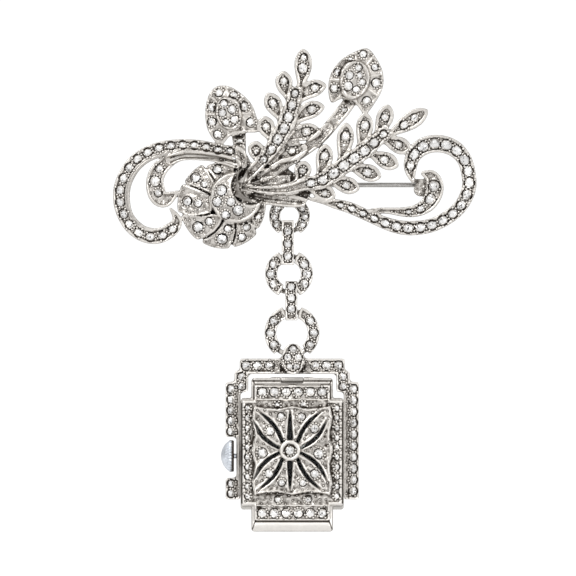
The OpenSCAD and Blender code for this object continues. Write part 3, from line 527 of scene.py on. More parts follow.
class Shader:
    """The nodes of a material or a world, and the inputs of the node that ends them."""

    def __init__(self, owner, end):
        owner.use_nodes = True
        self.nodes, self.links = owner.node_tree.nodes, owner.node_tree.links
        self.inputs = self.nodes[end].inputs

    def put(self, socket, value):
        """Sets a socket to a number or a colour, or links an output to it."""
        if isinstance(value, float):
            socket.default_value = value
        elif isinstance(value, tuple):
            socket.default_value = (*value, 1)
        else:
            self.links.new(value, socket)

    def feed(self, name, value):
        self.put(self.inputs[name], value)

    def add(self, kind, output, inputs, **settings):
        """Adds a node with its settings, puts values to its inputs and returns one of its outputs."""
        node = self.nodes.new(f"ShaderNode{kind}")
        for name, value in settings.items():
            setattr(node, name, value)
        for key, value in inputs.items():
            self.put(node.inputs[key], value)
        return node.outputs[output]

    def noise(self, scale, detail):
        inputs = {"Vector": self.add("TexCoord", "Object", {}), "Scale": scale, "Detail": detail,
                  "Roughness": 0.6}
        return self.add("TexNoise", "Fac", inputs)

    def attribute(self, name):
        return self.add("Attribute", "Fac", {}, attribute_name=name)

    def map_range(self, source, low, high):
        return self.add("MapRange", 0, {"Value": source, "From Min": low, "From Max": high})

    def ramp(self, source, stops):
        node = self.nodes.new("ShaderNodeValToRGB")
        self.put(node.inputs["Fac"], source)
        elements = node.color_ramp.elements
        while len(elements) < len(stops):
            elements.new(0.5)
        for element, (position, value) in zip(elements, stops):
            element.position = position
            element.color = (*value, 1) if isinstance(value, tuple) else (value, value, value, 1)
        return node.outputs["Color"]

    def combine(self, operation, a, b):
        """Adds, subtracts or multiplies, and clamps to 0 and 1."""
        return self.add("Math", 0, {0: a, 1: b}, operation=operation, use_clamp=True)

    def mix(self, factor, a, b, blend="MIX"):
        return self.add("Mix", 2, {0: factor, 6: a, 7: b}, data_type="RGBA", blend_type=blend)

    def bump(self, height, strength, distance):
        inputs = {"Height": height, "Strength": strength, "Distance": distance * MM}
        self.feed("Normal", self.add("Bump", "Normal", inputs))


def new_material(name, metallic, roughness, color=(0.8, 0.8, 0.8)):
    """A material, and the shader that makes it."""
    material = bpy.data.materials.new(name)
    make = Shader(material, "Principled BSDF")
    for socket, value in (("Metallic", metallic), ("Roughness", roughness), ("Base Color", color)):
        make.feed(socket, value)
    return material, make


# Colours of silver as it mostly is, where it is rubbed bare, and the dark colour of both its tarnish and
# painted shade
SILVER = (0.64, 0.61, 0.572)
RUBBED_SILVER = (0.87, 0.84, 0.8)
TARNISH_AND_SHADE = (0.055, 0.044, 0.035)


def silver_material(name, bright=SILVER, gloss=0.3, marked=True):
    """Worn silver. A marked one has the tarnish, the painted shade and the bare metal that its piece's
    attributes say.
    """
    material, make = new_material(name, 1.0, gloss)
    patches = make.noise(420.0, 5.0)
    fine = make.noise(2600.0, 3.0)
    dull, pale = (tuple(share * c for c in bright) for share in (0.86, 1.12))
    mottling = make.ramp(fine, [(0.34, 0.8), (0.62, 1.0)])
    tone = make.mix(1.0, make.ramp(patches, [(0.3, dull), (0.7, pale)]), mottling, "MULTIPLY")
    if marked:
        lit = make.mix(make.combine("MULTIPLY", make.attribute("bare"), 0.75), tone, RUBBED_SILVER)
        speckle = make.combine("MULTIPLY", make.combine("SUBTRACT", fine, 0.5), 0.9)
        # The dark attribute holds tarnish and painted shade alike, both mixed towards the dark colour
        soot = make.combine("ADD", make.attribute("dark"), speckle)
        make.feed("Base Color", make.mix(make.ramp(soot, [(0.12, 0.0), (0.75, 1.0)]), lit, TARNISH_AND_SHADE))
        make.feed("Roughness", make.ramp(soot, [(0.1, gloss), (0.8, 0.62)]))
    else:
        make.feed("Base Color", tone)
        make.feed("Roughness", make.ramp(patches, [(0.3, gloss * 0.8), (0.7, gloss * 1.3)]))
    make.bump(fine, 0.5, 0.02)
    return material


def marcasite_material():
    """Polished pyrite, each facet a little lighter or darker than the next."""
    material, make = new_material("marcasite", 1.0, 0.16)
    pits = make.noise(1500.0, 3.0)
    color = make.ramp(make.attribute("tone"),
                      [(0.0, (0.2, 0.195, 0.19)), (0.4, (0.74, 0.735, 0.73)), (1.0, (1.0, 0.995, 0.985))])
    dull = make.ramp(pits, [(0.55, 0.0), (0.75, 0.35)])
    make.feed("Base Color", make.mix(dull, color, (0.2, 0.19, 0.19)))
    make.feed("Roughness", make.ramp(pits, [(0.3, 0.1), (0.8, 0.28)]))
    make.bump(pits, 0.25, 0.01)
    return material


def dial_material():
    """Black enamel, slightly uneven."""
    material, make = new_material("dial_enamel", 0.0, 0.35, (0.006, 0.006, 0.007))
    make.feed("Specular IOR Level", 0.15)
    cloud = make.noise(300.0, 4.0)
    make.feed("Base Color", make.ramp(cloud, [(0.3, (0.004, 0.004, 0.004)), (0.75, (0.014, 0.012, 0.011))]))
    make.feed("Roughness", make.ramp(cloud, [(0.3, 0.28), (0.8, 0.5)]))
    return material


def print_material():
    """Pale printing, slightly worn."""
    material, make = new_material("dial_printing", 0.0, 0.6)
    wear = make.noise(2200.0, 3.0)
    make.feed("Base Color", make.ramp(wear, [(0.35, (0.42, 0.41, 0.37)), (0.6, (0.72, 0.7, 0.64))]))
    return material


def crystal_material():
    """Thin mineral glass with faint scratches."""
    material, make = new_material("crystal_glass", 0.0, 0.03, (0.95, 0.97, 0.97))
    make.feed("Transmission Weight", 1.0)
    make.feed("IOR", 1.2)
    make.feed("Roughness", make.ramp(make.noise(900.0, 6.0), [(0.4, 0.02), (0.8, 0.12)]))
    return material


# Stones

def read_stones(node):
    """Foot point, axis and radius of each stone of a node."""
    places, owner = weld(node)
    parent = list(range(len(places)))

    def root(a):
        while parent[a] != a:
            parent[a] = parent[parent[a]]
            a = parent[a]
        return a

    for p in frame["nodes"][node].data.polygons:
        first = root(owner[p.vertices[0]])
        for v in p.vertices[1:]:
            parent[root(owner[v])] = first
    groups = {}
    for a, place in enumerate(places):
        groups.setdefault(root(a), []).append(place)
    stones = []
    for group in groups.values():
        points = np.array(group)
        centre = points.mean(0)
        axis = np.linalg.svd(points - centre)[2][2]
        if axis[2] < 0:
            axis = -axis
        along = (points - centre) @ axis
        radius = np.linalg.norm((points - centre) - along[:, None] * axis, axis=1).max()
        stones.append({"foot": centre + along.min() * axis, "axis": axis, "radius": float(radius),
                       "height": float(np.ptp(along))})
    stones.sort(key=lambda s: (round(s["foot"][0], 2), round(s["foot"][1], 2)))
    return stones


# A stone's rings from its foot up: corners, share of the radius, share of the height, turn in corners
STONE_RINGS = ((12, 1.0, 0.0, 0.0), (12, 1.0, 0.22, 0.0), (6, 0.66, 0.7, 0.0), (6, 0.27, 1.0, 0.5))
# The most grains round one stone
GRAINS_ROUND_STONE = 5


def cut_stones(node, body):
    """Rose-cut marcasites: a round girdle, twelve lower and six upper facets and a small table."""
    points, faces, tones = [], [], []
    for stone in read_stones(node):
        axis = Vector(stone["axis"])
        side = axis.cross(Vector((0, 1, 0))).normalized()
        other = axis.cross(side)
        foot, radius, height = Vector(stone["foot"]), stone["radius"] * 0.99, stone["height"]
        turn = rng.uniform(0, math.tau)
        firsts = []
        for count, reach, level, shift in STONE_RINGS:
            firsts.append(len(points))
            for k in range(count):
                a = turn + (k + shift) * math.tau / count
                tilt = rng.uniform(-0.03, 0.03)
                points.append(foot + (side * math.cos(a) + other * math.sin(a)) * radius * reach
                              + axis * height * (level + (tilt if level else 0)))
        low, girdle, crown, table = firsts
        faces += ring_quads(low, 2, 12)
        for k in range(6):
            here, after = crown + k, crown + (k + 1) % 6
            faces.append((girdle + 2 * k, girdle + 2 * k + 1, here))
            faces.append((girdle + 2 * k + 1, after, here))
            faces.append((girdle + 2 * k + 1, girdle + (2 * k + 2) % 12, after))
            faces.append((here, after, table + k))
            faces.append((after, table + (k + 1) % 6, table + k))
        faces.append(tuple(table + k for k in range(6)))
        tone = rng.uniform(0.45, 1)
        tones += [tone * (0.1 if rng.random() < 0.1 else 1) for _ in range(len(faces) - len(tones))]
    piece = new_mesh(node.replace("stones", "marcasites"), points, faces, smooth=False)
    put_attribute(piece, "tone", tones, "FACE")
    finish_piece(piece, body, marcasite)
    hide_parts(node)


def place_grains(relief, stones):
    """Grains of metal raised round each stone, the largest first, where there is flat ground for them."""
    grains = []

    def fits(x, h, size, level, own):
        here = relief.raw[relief.at(x, h)]
        if abs(here - level) > 0.8:
            return False
        for dx, dh in ((0, 0), (size, 0), (-size, 0), (0, size), (0, -size)):
            cell = relief.at(x + 0.7 * dx, h + 0.7 * dh)
            if relief.near_edge[cell] > 0.2 or abs(relief.raw[cell] - here) > 0.16:
                return False
        near_stone = any(math.hypot(x - s["foot"][0], h - s["foot"][1]) < s["radius"] + size * 0.55
                         for s in stones if s is not own)
        return not near_stone and all(math.hypot(x - g[0], h - g[1]) > (size + g[3]) * 0.85 for g in grains)

    for stone in stones:
        x, h, f = stone["foot"]
        start = rng.uniform(0, math.tau)
        placed = 0
        for size in (0.21, 0.17, 0.13):
            for k in range(24):
                a = start + k * math.tau / 24
                reach = stone["radius"] + 0.03 + size * 0.7
                gx, gh = polar((x, h), reach, a)
                if placed < GRAINS_ROUND_STONE and fits(gx, gh, size, f - 0.02, stone):
                    grains.append((gx, gh, relief.raw[relief.at(gx, gh)] - 0.02, size))
                    placed += 1
    return grains


def scatter_grains(relief, stones, grains, spacing, tries, deepest):
    """Small grains on what is left of the blackened floors."""
    places = np.argwhere((relief.floor > 0.9) & (relief.depth() < deepest) & (relief.near_edge < 0.2))
    taken = {}

    def take(x, h, size):
        taken.setdefault((int(x), int(h)), []).append((x, h, size))

    for x, h, _, size in grains:
        take(x, h, size)
    for stone in stones:
        take(*stone["foot"][:2], stone["radius"] + 0.05)
    more = []
    for _ in range(tries if len(places) else 0):
        j, i = places[rng.randrange(len(places))]
        x, h = relief.x[i], relief.h[j]
        size = rng.uniform(0.11, 0.17)
        around = [t for dx in (-1, 0, 1) for dh in (-1, 0, 1)
                  for t in taken.get((int(x) + dx, int(h) + dh), ())]
        if any(math.hypot(x - t[0], h - t[1]) < max(t[2] + size, spacing * (t[2] < 0.3)) for t in around):
            continue
        take(x, h, size)
        more.append((x, h, relief.raw[j, i] - 0.02, size))
    return more


def raise_grains(name, grains, body):
    """One mesh of low half balls."""
    points, faces = [], []
    around = 8
    turns = [k * math.tau / around for k in range(around)]
    for x, h, f, size in grains:
        start = len(points)
        for level, reach in ((-0.33, 1.0), (0.385, 0.93), (0.825, 0.62)):
            points += [(*polar((x, h), size * reach, a), f + size * level) for a in turns]
        points.append((x, h, f + size * 1.1))
        faces += ring_quads(start, 3, around)
        last = start + 2 * around
        faces += [(last + k, last + (k + 1) % around, last + around) for k in range(around)]
    piece = new_mesh(name, points, faces)
    mark(piece, 0, 0.6)
    finish_piece(piece, body, silver)


def fitting(name, node, wanted, body, material, bevel=0.0):
    """Copies the faces of a node that wanted() picks by their middle, such as hinge ears and loops."""
    places, owner = weld(node)
    numbers, faces = {}, []
    for p in frame["nodes"][node].data.polygons:
        if wanted(plan(p.center)):
            face = [numbers.setdefault(owner[v], len(numbers)) for v in p.vertices]
            if len(set(face)) == len(face):
                faces.append(face)
    piece = new_mesh(name, [places[k] for k in numbers], faces)
    if bevel:
        round_edges(piece, bevel)
    piece.data.set_sharp_from_angle(angle=math.radians(40))
    mark(piece, 0.1, 0)
    return finish_piece(piece, body, material)


def dress(relief, stones, label, body, copied=None, spacing=0.6, tries=6000, deepest=0.95, **build):
    """Cuts the seats of a relief's stones, sets its grains and builds its metal.

    copied names the piece of what stands behind the relief's back, and picks its faces for fitting().
    """
    grains = place_grains(relief, stones)
    grains += scatter_grains(relief, stones, grains, spacing, tries, deepest)
    relief.ring_grains(grains)
    for stone in stones:
        relief.seat(stone)
    relief.build(f"{label}_metal", body, **build)
    if copied:
        name, wanted = copied
        fitting(name, relief.node, wanted, body, silver)
    if grains:
        raise_grains(f"{label}_grains", grains, body)


def darken(piece, wanted, value):
    """Darkens the part of a piece that wanted() picks by x and h."""
    for vertex, dark in zip(piece.data.vertices, piece.data.attributes["dark"].data):
        x, h, _ = plan(vertex.co)
        if wanted(x, h):
            dark.value = value


def made_mesh(source):
    """A new mesh from what an object's modifiers or letters come to."""
    bpy.context.view_layer.update()
    return bpy.data.meshes.new_from_object(source.evaluated_get(bpy.context.evaluated_depsgraph_get()))


def round_edges(piece, width):
    """Bevels a piece's sharp edges and keeps the result as its mesh."""
    modifier = piece.modifiers.new("bevel", "BEVEL")
    modifier.width = width * MM
    modifier.segments = 2
    modifier.limit_method = "ANGLE"
    modifier.angle_limit = math.radians(50)
    rounded = made_mesh(piece)
    piece.modifiers.clear()
    piece.data = rounded
    rounded.polygons.foreach_set("use_smooth", [True] * len(rounded.polygons))


def lathe(name, rows, centre, around, ribs):
    """Turns rows of x, radius and rib depth round an axis along x."""
    points = []
    for x, radius, rib in rows:
        for k in range(around):
            a = math.tau * k / around
            reach = radius - rib * (0.5 + 0.5 * math.cos(ribs * a)) ** 2
            points.append((x, centre[0] + reach * math.sin(a), centre[1] + reach * math.cos(a)))
    faces = ring_quads(0, len(rows), around)
    faces.append(tuple(range(around)))
    faces.append(tuple(reversed(range((len(rows) - 1) * around, len(rows) * around))))
    piece = new_mesh(name, points, faces)
    piece.data.set_sharp_from_angle(angle=math.radians(50))
    return piece


# Chased lines

# The plain strand along the left scroll's inner edge, as the model has it: x, h, width
INNER_STRAND = [(-21.3, 5.27, 0.65), (-23.05, 4.65, 0.6), (-24.57, 3.9, 0.6), (-25.85, 2.78, 0.6),
                (-26.8, 1.4, 0.6), (-27.4, 0, 0.6), (-27.65, -1.43, 0.6), (-27.6, -3.04, 0.6),
                (-27.27, -4.5, 0.6), (-26.65, -5.6, 0.6), (-25.75, -6.5, 0.55)]

# Strands on the stems, each a list of plan points, and the turns of the rays that leave the knot
LEFT_STRAND = [(-9.6, 3.5), (-12.3, 4.4), (-15.7, 4.85), (-18.7, 4.85), (-20.6, 4.2)]
LOWER_STRAND = [(-7.6, -1.7), (-4, -2.35), (0, -2.8), (1.6, -2.95)]
SHORT_STRAND = [(-7.3, -0.4), (-4.3, 0.6), (-1.2, 0.95)]
STALK_STRANDS = [[(-8.9, 6), (-8.75, 3.5), (-8.7, 1.2)], [(5.6, 9.4), (2.6, 6.4), (-1.2, 3.8), (-5.2, 1.4)]]
STEM_TURNS = (72, 46, 27, 8, -5, -19)

# Each bud's oval: its centre, width, height and tilt
BUDS = (((-10.9, 11.9), 4.2, 5.6, 20), ((10.15, 17.55), 4.9, 6.3, -12))


def chase_spray(relief):
    """The rose's heart, the strands on the scroll and the stems, and the rays from the knot."""
    for strand, width in ((STALK_STRANDS[0], 1.9), (STALK_STRANDS[1], 2.0)):
        relief.band(strand, width, 0.45)
    relief.line(arc(HEART, 4.02, 82, 356, 30), 0.5, -0.2)
    relief.line(arc(HEART, 3.6, 90, 346, 30), 0.18, 0.06, 0.5)
    relief.line(arc(BITE, 3.3, 124, 244, 16), 0.3, -0.1)
    relief.band(LEFT_STRAND, 1.7, 0.4)
    for shift in (-0.42, 0.25):
        relief.line([(x, h + shift) for x, h in LEFT_STRAND], 0.2, 0.16, 0.6)
    relief.line(beside(INNER_STRAND, -1, -0.02), 0.2, 0.13, 0.6)
    relief.line(LOWER_STRAND, 0.26, 0.2, 0.6)
    relief.line(SHORT_STRAND, 0.22, -0.15)
    for strand in STALK_STRANDS:
        relief.line(strand, 0.2, 0.1, 0.4)
    for turn in STEM_TURNS:
        relief.line([polar(KNOT, reach, math.radians(turn)) for reach in (0.2, 1.2, 2.5)], 0.24, 0.22, 0.55)
    relief.dark = np.maximum(relief.dark, web_shadow(relief))


def web_shadow(relief):
    """Dark ground between the stems and in the calyx, and a brown one round the knot."""
    x, h = relief.x[None, :], relief.h[:, None]
    between = (x > -8) & (x < 3.4) & (h > -3.2) & (h < 4.8) & (relief.front < SPRAY_BACK + 1.2)
    near_knot = bell(relief.far_from(*KNOT), 1.7)
    calyx = bell(relief.far_from(*CALYX) - CALYX_RADIUS, 0.9) * (x < -7)
    return np.clip(np.maximum(between * 0.5 + 0.4 * near_knot, 0.6 * calyx), 0, 1)


def rose_floor(relief):
    """The rose's domed petals, inside their rims."""
    return relief.dome_floor() * rise(ROSE_RADIUS - relief.far_from(*ROSE), 0, 0.3)


def chase_buds(relief, stones):
    """Ridges between the stones of each bud's outer band, and a thread round its oval."""
    for centre, width, height, tilt in BUDS:
        lean = math.radians(tilt)

        def oval_reach(turn):
            a = turn - lean
            return 1 / math.hypot(math.cos(a) / (width / 2), math.sin(a) / (height / 2))

        band = []
        for stone in stones:
            dx, dh = stone["foot"][0] - centre[0], stone["foot"][1] - centre[1]
            turn = math.atan2(dh, dx)
            if oval_reach(turn) < math.hypot(dx, dh) < 6.2:
                band.append(turn)
        band.sort()
        for a, b in itertools.pairwise([*band, band[0] + math.tau]):
            if b - a > 2:
                continue
            turn = (a + b) / 2
            reach = oval_reach(turn) + 0.1
            ridge = []
            while reach < 7:
                point = polar(centre, reach, turn)
                if relief.mask[relief.at(*point)] < 0.6:
                    break
                ridge.append(point)
                reach += 0.3
            if len(ridge) > 1:
                relief.line(ridge, 0.44, -0.26, steps=1)
        ring = [polar(centre, oval_reach(turn) - 0.12, turn) for turn in np.linspace(0, math.tau, 33)]
        relief.line(ring, 0.34, -0.1, steps=1)


# The flower's slots from its middle, as the model has them: x, h, width
STEEP_SLOT = [(5.3, 6.6, 0.1), (3.4, 5, 0.5), (2.1, 3.3, 0.55), (1.5, 2, 0.5)]
FLAT_SLOT = [(6.2, 5.2, 0.1), (5, 2.9, 0.5), (3.5, 1.4, 0.55), (1.9, 0.6, 0.4)]
CENTRE_SLOT = [(0, 6.6, 0.15), (0, 4, 0.6), (0, 2, 0.9)]


def beside(rows, side, gap):
    """Points beside a slot's rows, at half its width and a gap from its middle line."""
    out = []
    for k, (x, h, width) in enumerate(rows):
        ahead, behind = rows[min(k + 1, len(rows) - 1)], rows[max(k - 1, 0)]
        dx, dh = ahead[0] - behind[0], ahead[1] - behind[1]
        length = math.hypot(dx, dh)
        reach = side * (width / 2 + gap)
        out.append((x - reach * dh / length, h + reach * dx / length))
    return out


def rectangle_reach(x, h, half_width, half_height):
    """How far a rectangle's edge lies from its middle, in the direction x, h."""
    return min(half_width / max(abs(x), 1e-3), half_height / max(abs(h), 1e-3))


def panel_outline(inset):
    """The scalloped panel's outline, drawn in."""
    points = []
    for degrees in range(0, 361, 10):
        a = math.radians(degrees)
        scallop = 1 - 0.04 * (1 - math.cos(8 * a))
        reach = rectangle_reach(math.cos(a), math.sin(a), 6.6, 7.4) * scallop - inset
        points.append(polar((WATCH_X, FLOWER[1]), reach, a))
    return points


# Level lines of the cover: reach to each side of the watch's middle, h, width, depth, darkness
COVER_LEVELS = ((6.55, -32.66, 0.5, 0.16, 0.6), (6.15, -33.18, 0.16, 0.08, 0.7), (1.6, -32.5, 0.34, 0.16, 1),
                (6.15, -56.8, 1.3, -0.3, 0), (6.15, -56.12, 0.16, 0.12, 0.8),
                (6.05, -35.75, 0.34, -0.24, 0), (6.05, -53.4, 0.34, -0.24, 0))

# Its lines on both sides: reach and h of the upper end, reach and h of the lower, width, depth, darkness
COVER_SIDES = ((6.6, -32.4, 6.1, -33.4, 0.16, 0.1, 0.6), (6.1, -55.9, 6.7, -57.5, 0.2, 0.14, 0.7),
               (6.4, -32.8, 6.4, -35.6, 0.3, 0.1, 0.5), (8.38, -36.4, 8.38, -53, 0.2, 0.12, 0.8),
               (6.9, -37, 6.9, -52.4, 0.18, -0.12, 0))
# The same of the frame, and the middles of the plain strips beside its bail
FRAME_SIDES = ((9.42, -33.2, 9.42, -52.2, 0.2, 0.14, 0.8), (8.8, -34.9, 8.8, -52.2, 0.16, 0.1, 0.7))
BAIL_STRIPS = ((-2.75, -30.15), (2.33, -30.15))
# The cover inside its border: rectangles' middles, half widths and half heights
COVER_FIELD = (((WATCH_X, -44.68), 6.1, 11.15), ((WATCH_X, -44.6), 8.1, 8.55))


def line_sides(relief, rows):
    """Chases rows of a table of lines, to the left and the right of the watch's middle."""
    for side in (-1, 1):
        for upper_reach, upper, lower_reach, lower, width, depth, dark in rows:
            ends = [(WATCH_X + side * upper_reach, upper), (WATCH_X + side * lower_reach, lower)]
            relief.line(ends, width, depth, dark)


def chase_cover(relief):
    """Reeded border, cell rims, petals' raised edges and the boss."""
    for reach, level, width, depth, dark in COVER_LEVELS:
        relief.line([(WATCH_X - reach, level), (WATCH_X + reach, level)], width, depth, dark)
    line_sides(relief, COVER_SIDES)
    relief.line(panel_outline(0.16), 0.4, -0.16, steps=2)
    for mx, mh, side in itertools.product((1, -1), repeat=3):
        for rows, lift in ((STEEP_SLOT, 0.17), (FLAT_SLOT, 0.17), (CENTRE_SLOT, 0.09)):
            edge = [(FLOWER[0] + mx * x, FLOWER[1] + mh * h) for x, h in beside(rows, side, 0.24)]
            relief.line(edge, 0.34, -lift, steps=4)
    relief.line(arc(FLOWER, 1.42, 0, 360, 36), 0.5, -0.14, steps=1)
    relief.line(arc(FLOWER, 0.98, 0, 360, 24), 0.2, 0.16, 1.0, steps=1)


def chase_frame(relief):
    """The rails beside the case, and the plain strips beside the bail."""
    line_sides(relief, FRAME_SIDES)
    for middle in BAIL_STRIPS:
        strip = relief.in_rectangle(middle, 0.5, 1.15)
        relief.front += 0.22 * blur(strip.astype(float), 0.05 / relief.cell)


silver = silver_material("silver")
marcasite = marcasite_material()
SPRAY_STONE_NODES = ("stones_left_scroll", "stones_right_scroll", "stones_upper_leaf", "stones_right_leaf",
                     "stones_buds", "stones_rose")

# The spray, whose back is flat. Its hinge ears, catch and chain loop stand behind that and are copied.
spray = Relief("spray", SPRAY_CELL, SPRAY_BACK)
chase_spray(spray)
chase_buds(spray, read_stones("stones_buds"))
off_stem = rise(spray.distance(LEFT_STRAND, 2.2, 6), 0.9, 1.3)
spray.tarnish(SEED, dark=0.2, within=off_stem, domes=rose_floor(spray))
# Painted shade on the rose's petal floors, on top of their tarnish
spray.dark = np.maximum(spray.dark, 0.3 * rose_floor(spray))
on_strand = 1 - rise(spray.distance([p[:2] for p in INNER_STRAND], 1.0, 6), 0.25, 0.5)
spray.dark = np.maximum(spray.dark, 0.27 * on_strand)
spray.rubbing, spray.soot = 1.0, 0.9
for centre, _, _, _ in BUDS:
    spray.dark += 0.16 * spray.floor * (1 - rise(spray.far_from(*centre), 4.2, 5))
dress(spray, [s for node in SPRAY_STONE_NODES for s in read_stones(node)], "spray", "spray",
      copied=("spray_fittings", lambda c: c[2] < SPRAY_BACK - 0.02), cuts=(-14, 2))
# The catch, in shadow behind the scroll's end, is given painted shadow
darken(bpy.data.objects["spray_fittings"], lambda x, h: x > CATCH_START, 0.85)
for node in SPRAY_STONE_NODES:
    cut_stones(node, "spray")

# The chain
chain_stones = read_stones("stones_chain")
for node in ("ring_top", "ring_middle", "ring_bottom", "bar_upper", "bar_lower"):
    is_bar = node.startswith("bar")
    link = Relief(node, FINE_CELL, BAR_BACK if is_bar else NO_LIMIT)
    link.tarnish(SEED + len(node), dark=0.3)
    link.soot = 1.15
    mine = []
    for stone in chain_stones:
        cell = link.at(*stone["foot"][:2])
        if link.mask[cell] > 0.9 and abs(link.raw[cell] - stone["foot"][2]) < 0.3:
            mine.append(stone)
    loops = (f"{node}_loops", lambda c: c[2] < BAR_BACK - 0.02) if is_bar else None
    dress(link, mine, node, "spray", copied=loops, tries=1500, back_stride=1)
cut_stones("stones_chain", "spray")

# The frame and its bail
frame_relief = Relief("pendant_frame", FINE_CELL, BAIL_BACK, limit_above=FRAME_TOP, corner=0.28)
chase_frame(frame_relief)
frame_relief.tarnish(SEED + 1, dark=0.28)
frame_relief.shine = 0.5 * (1 - frame_relief.floor)
loop = ("bail_loop",
        lambda c: c[1] > LOOP_FOOT and c[2] < BAIL_BACK - 0.02 and abs(c[0] - LOOP_X) < LOOP_HALF)
dress(frame_relief, read_stones("stones_frame"), "frame", "pendant", copied=loop, tries=4000)
cut_stones("stones_frame", "pendant")

# The cover
cover = Relief("cover", FINE_CELL, corner=0.12)
chase_cover(cover)
in_field = np.any([cover.in_rectangle(*rectangle) for rectangle in COVER_FIELD], 0)
cover.tarnish(SEED + 2, low=0.03, high=0.15, dark=0.26, within=in_field.astype(float))
cover.shine = np.where(in_field, 0, 0.9)
cover.soot = 1.12
# The walls of the pierced flower's slots are painted fully dark as shadow; the other walls are a little dark
dress(cover, read_stones("stones_cover"), "cover", "cover", spacing=0.8, deepest=1.5,
      wall_dark=np.where(cover.in_rectangle(FLOWER, 6.4, 7.2), 1.0, 0.25))
cut_stones("stones_cover", "cover")

# The crown: a smooth dome with a ribbed edge, on its stem
CROWN_AXIS = (-45.17, 2.0)
CROWN_BALL = 3.1
BALL_MIDDLE = -9.07
CROWN_RADIUS = 2.64
RIBS_START = -11.25
crown_rows = [(-12.16, 0.12, 0.0)]
for step in range(1, 13):
    x = BALL_MIDDLE - CROWN_BALL + 1.49 * (step / 12) ** 1.6
    on_ball = math.sqrt(CROWN_BALL ** 2 - (x - BALL_MIDDLE) ** 2)
    crown_rows.append((x, min(on_ball, CROWN_RADIUS), 0.16 if x > RIBS_START else 0.0))
crown_rows += [(-10.66, CROWN_RADIUS, 0.14), (-10.2, CROWN_RADIUS, 0.16), (-10.06, CROWN_RADIUS - 0.06, 0.12),
               (-10.01, CROWN_RADIUS - 0.2, 0.0), (-10.01, 0.42, 0.0), (-9.95, 0.4, 0.0), (-7.6, 0.4, 0.0)]
crown_metal = silver_material("crown_silver", bright=(0.78, 0.82, 0.88), gloss=0.32)
crown = lathe("crown_turned", crown_rows, CROWN_AXIS, 168, 28)
finish_piece(crown, "crown", crown_metal)
crown_x = np.array([plan(v.co)[0] for v in crown.data.vertices])
mark(crown, 0.9 * rise(crown_x, -10.62, -10.3) * (crown_x < -9.98), 0)
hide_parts("crown")

# The case, the pin and its rivet. The case and the rivet have their edges rounded.
plain_silver = silver_material("plain_silver", bright=(0.6, 0.58, 0.55), gloss=0.3)
steel = silver_material("steel", bright=(0.5, 0.49, 0.475), gloss=0.26, marked=False)
for node, body, material, slot, edge in (("watch_case", "pendant", plain_silver, "silver", 0.08),
                                         ("pin_stem", "pin", steel, "pin_steel", 0.0),
                                         ("pin_rivet", "spray", steel, "silver", 0.03)):
    piece = fitting(f"{node}_metal", node, lambda c: True, body, material, bevel=edge)
    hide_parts(node)
    if node == "watch_case":
        darken(piece, lambda x, h: abs(x - WATCH_X) < KNUCKLE_HALF and h > KNUCKLE_FOOT, 0.25)

# The printing stands a hair in front of the dial
PRINT_FRONT = 2.262
DIAL_MIDDLE = -44.65


def dial_printing():
    """Numerals one to twelve and a ring of minute marks. The dial hangs with its twelve at the foot."""
    points, faces = [], []
    for minute in range(60):
        a = math.tau * minute / 60
        length, half = (0.55, 0.06) if minute % 5 == 0 else (0.3, 0.03)
        x, h = -math.sin(a), -math.cos(a)
        reach = rectangle_reach(x, h, 5.2, 7.3)
        start = len(points)
        for out, side in ((reach, 1), (reach, -1), (reach - length, -1), (reach - length, 1)):
            points.append((WATCH_X + out * x - side * half * h, DIAL_MIDDLE + out * h + side * half * x,
                           PRINT_FRONT))
        faces.append((start, start + 1, start + 2, start + 3))
    finish_piece(new_mesh("dial_marks", points, faces, smooth=False), "pendant", printing)
    for hour in range(1, 13):
        a = math.tau * hour / 12
        words = bpy.data.curves.new(f"numeral_{hour}", "FONT")
        words.body = str(hour)
        words.size = 1.7 * MM
        words.align_x = "CENTER"
        words.align_y = "CENTER"
        words.resolution_u = 4
        maker = add_object(f"numeral_maker_{hour}", words)
        mesh = made_mesh(maker)
        bpy.data.objects.remove(maker)
        x, h = -math.sin(a), -math.cos(a)
        reach = rectangle_reach(x, h, 4.0, 6.0)
        place = Matrix.Translation(world((WATCH_X + reach * x, DIAL_MIDDLE + reach * h, PRINT_FRONT)))
        upside_down = Matrix.Rotation(math.radians(90), 4, "X") @ Matrix.Rotation(math.pi, 4, "Z")
        mesh.transform(place @ upside_down)
        finish_piece(add_object(f"numeral_{hour}", mesh), "pendant", printing)


printing = print_material()
dial_printing()
hand_metal = silver_material("hand_metal", bright=(0.66, 0.65, 0.62), gloss=0.22, marked=False)
for node, material in (("dial", dial_material()), ("hour_hand", hand_metal), ("minute_hand", hand_metal),
                       ("crystal", crystal_material())):
    obj = frame["nodes"][node]
    obj.data.materials.clear()
    obj.data.materials.append(material)

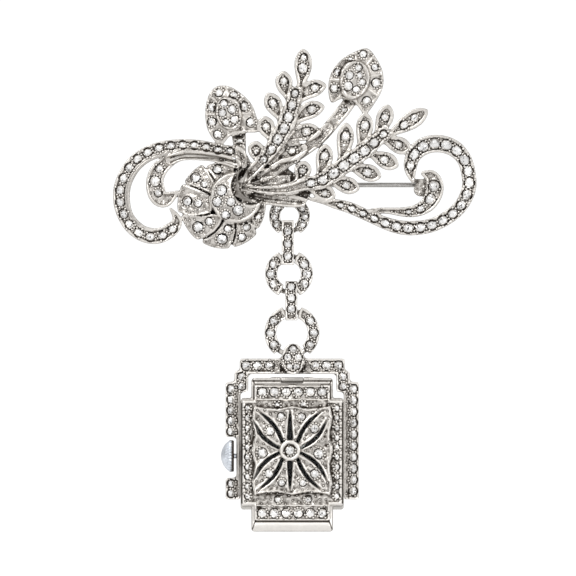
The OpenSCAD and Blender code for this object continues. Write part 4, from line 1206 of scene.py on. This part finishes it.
# Stage, light and camera
scene = bpy.context.scene
scene.world = bpy.data.worlds.new("studio")
sky = Shader(scene.world, "Background")
way = sky.add("TexCoord", "Generated", {})
behind = sky.map_range(sky.add("SeparateXYZ", "Y", {0: way}), -0.7, 0.15)
above = sky.map_range(sky.add("SeparateXYZ", "Z", {0: way}), -0.6, 0.8)
front_light = sky.ramp(above, [(0.0, 0.68), (0.45, 0.9), (1.0, 1.2)])
back_light = sky.ramp(above, [(0.0, 0.3), (0.45, 0.5), (1.0, 0.8)])
seen = sky.add("LightPath", "Is Camera Ray", {})
sky.feed("Color", sky.mix(seen, sky.mix(behind, front_light, back_light), (1.0, 1.0, 1.0)))
sky.feed("Strength", 1.08)

# The middle of the brooch, where both lamps point, in metres
LIT_POINT = (0, 0, -0.02)


def area_light(name, place, size, power):
    light = bpy.data.lights.new(name, "AREA")
    light.size, light.energy = size, power
    lamp = add_object(name, light)
    lamp.location = place
    lamp.rotation_euler = (Vector(LIT_POINT) - Vector(place)).to_track_quat("-Z", "Y").to_euler()


area_light("key", (-0.25, -0.35, 0.3), 0.25, 1.0)
area_light("fill", (0.35, -0.3, 0.1), 0.2, 0.45)

FLOOR_LEVEL = -0.072
corner_places = [(x, y, FLOOR_LEVEL) for x, y in ((-1, -1), (1, -1), (1, 1), (-1, 1))]
floor_mesh = bpy.data.meshes.new("floor")
floor_mesh.from_pydata(corner_places, [], [(0, 1, 2, 3)])
floor_mesh.materials.append(new_material("floor", 0.0, 0.8, (0.85, 0.85, 0.85))[0])
floor = add_object("floor", floor_mesh)

# The photo is 96 mm wide. Its middle lies here, in metres.
PHOTO_WIDTH = 0.096
PHOTO_X, PHOTO_Z = -0.001, -0.01717
camera_data = bpy.data.cameras.new("camera")
camera_data.type = "ORTHO"
camera_data.ortho_scale = PHOTO_WIDTH
camera = add_object("camera", camera_data)
camera.location = (PHOTO_X, -0.4, PHOTO_Z)
camera.rotation_euler = (math.radians(90), 0, 0)
scene.camera = camera
scene.view_settings.view_transform = "Standard"
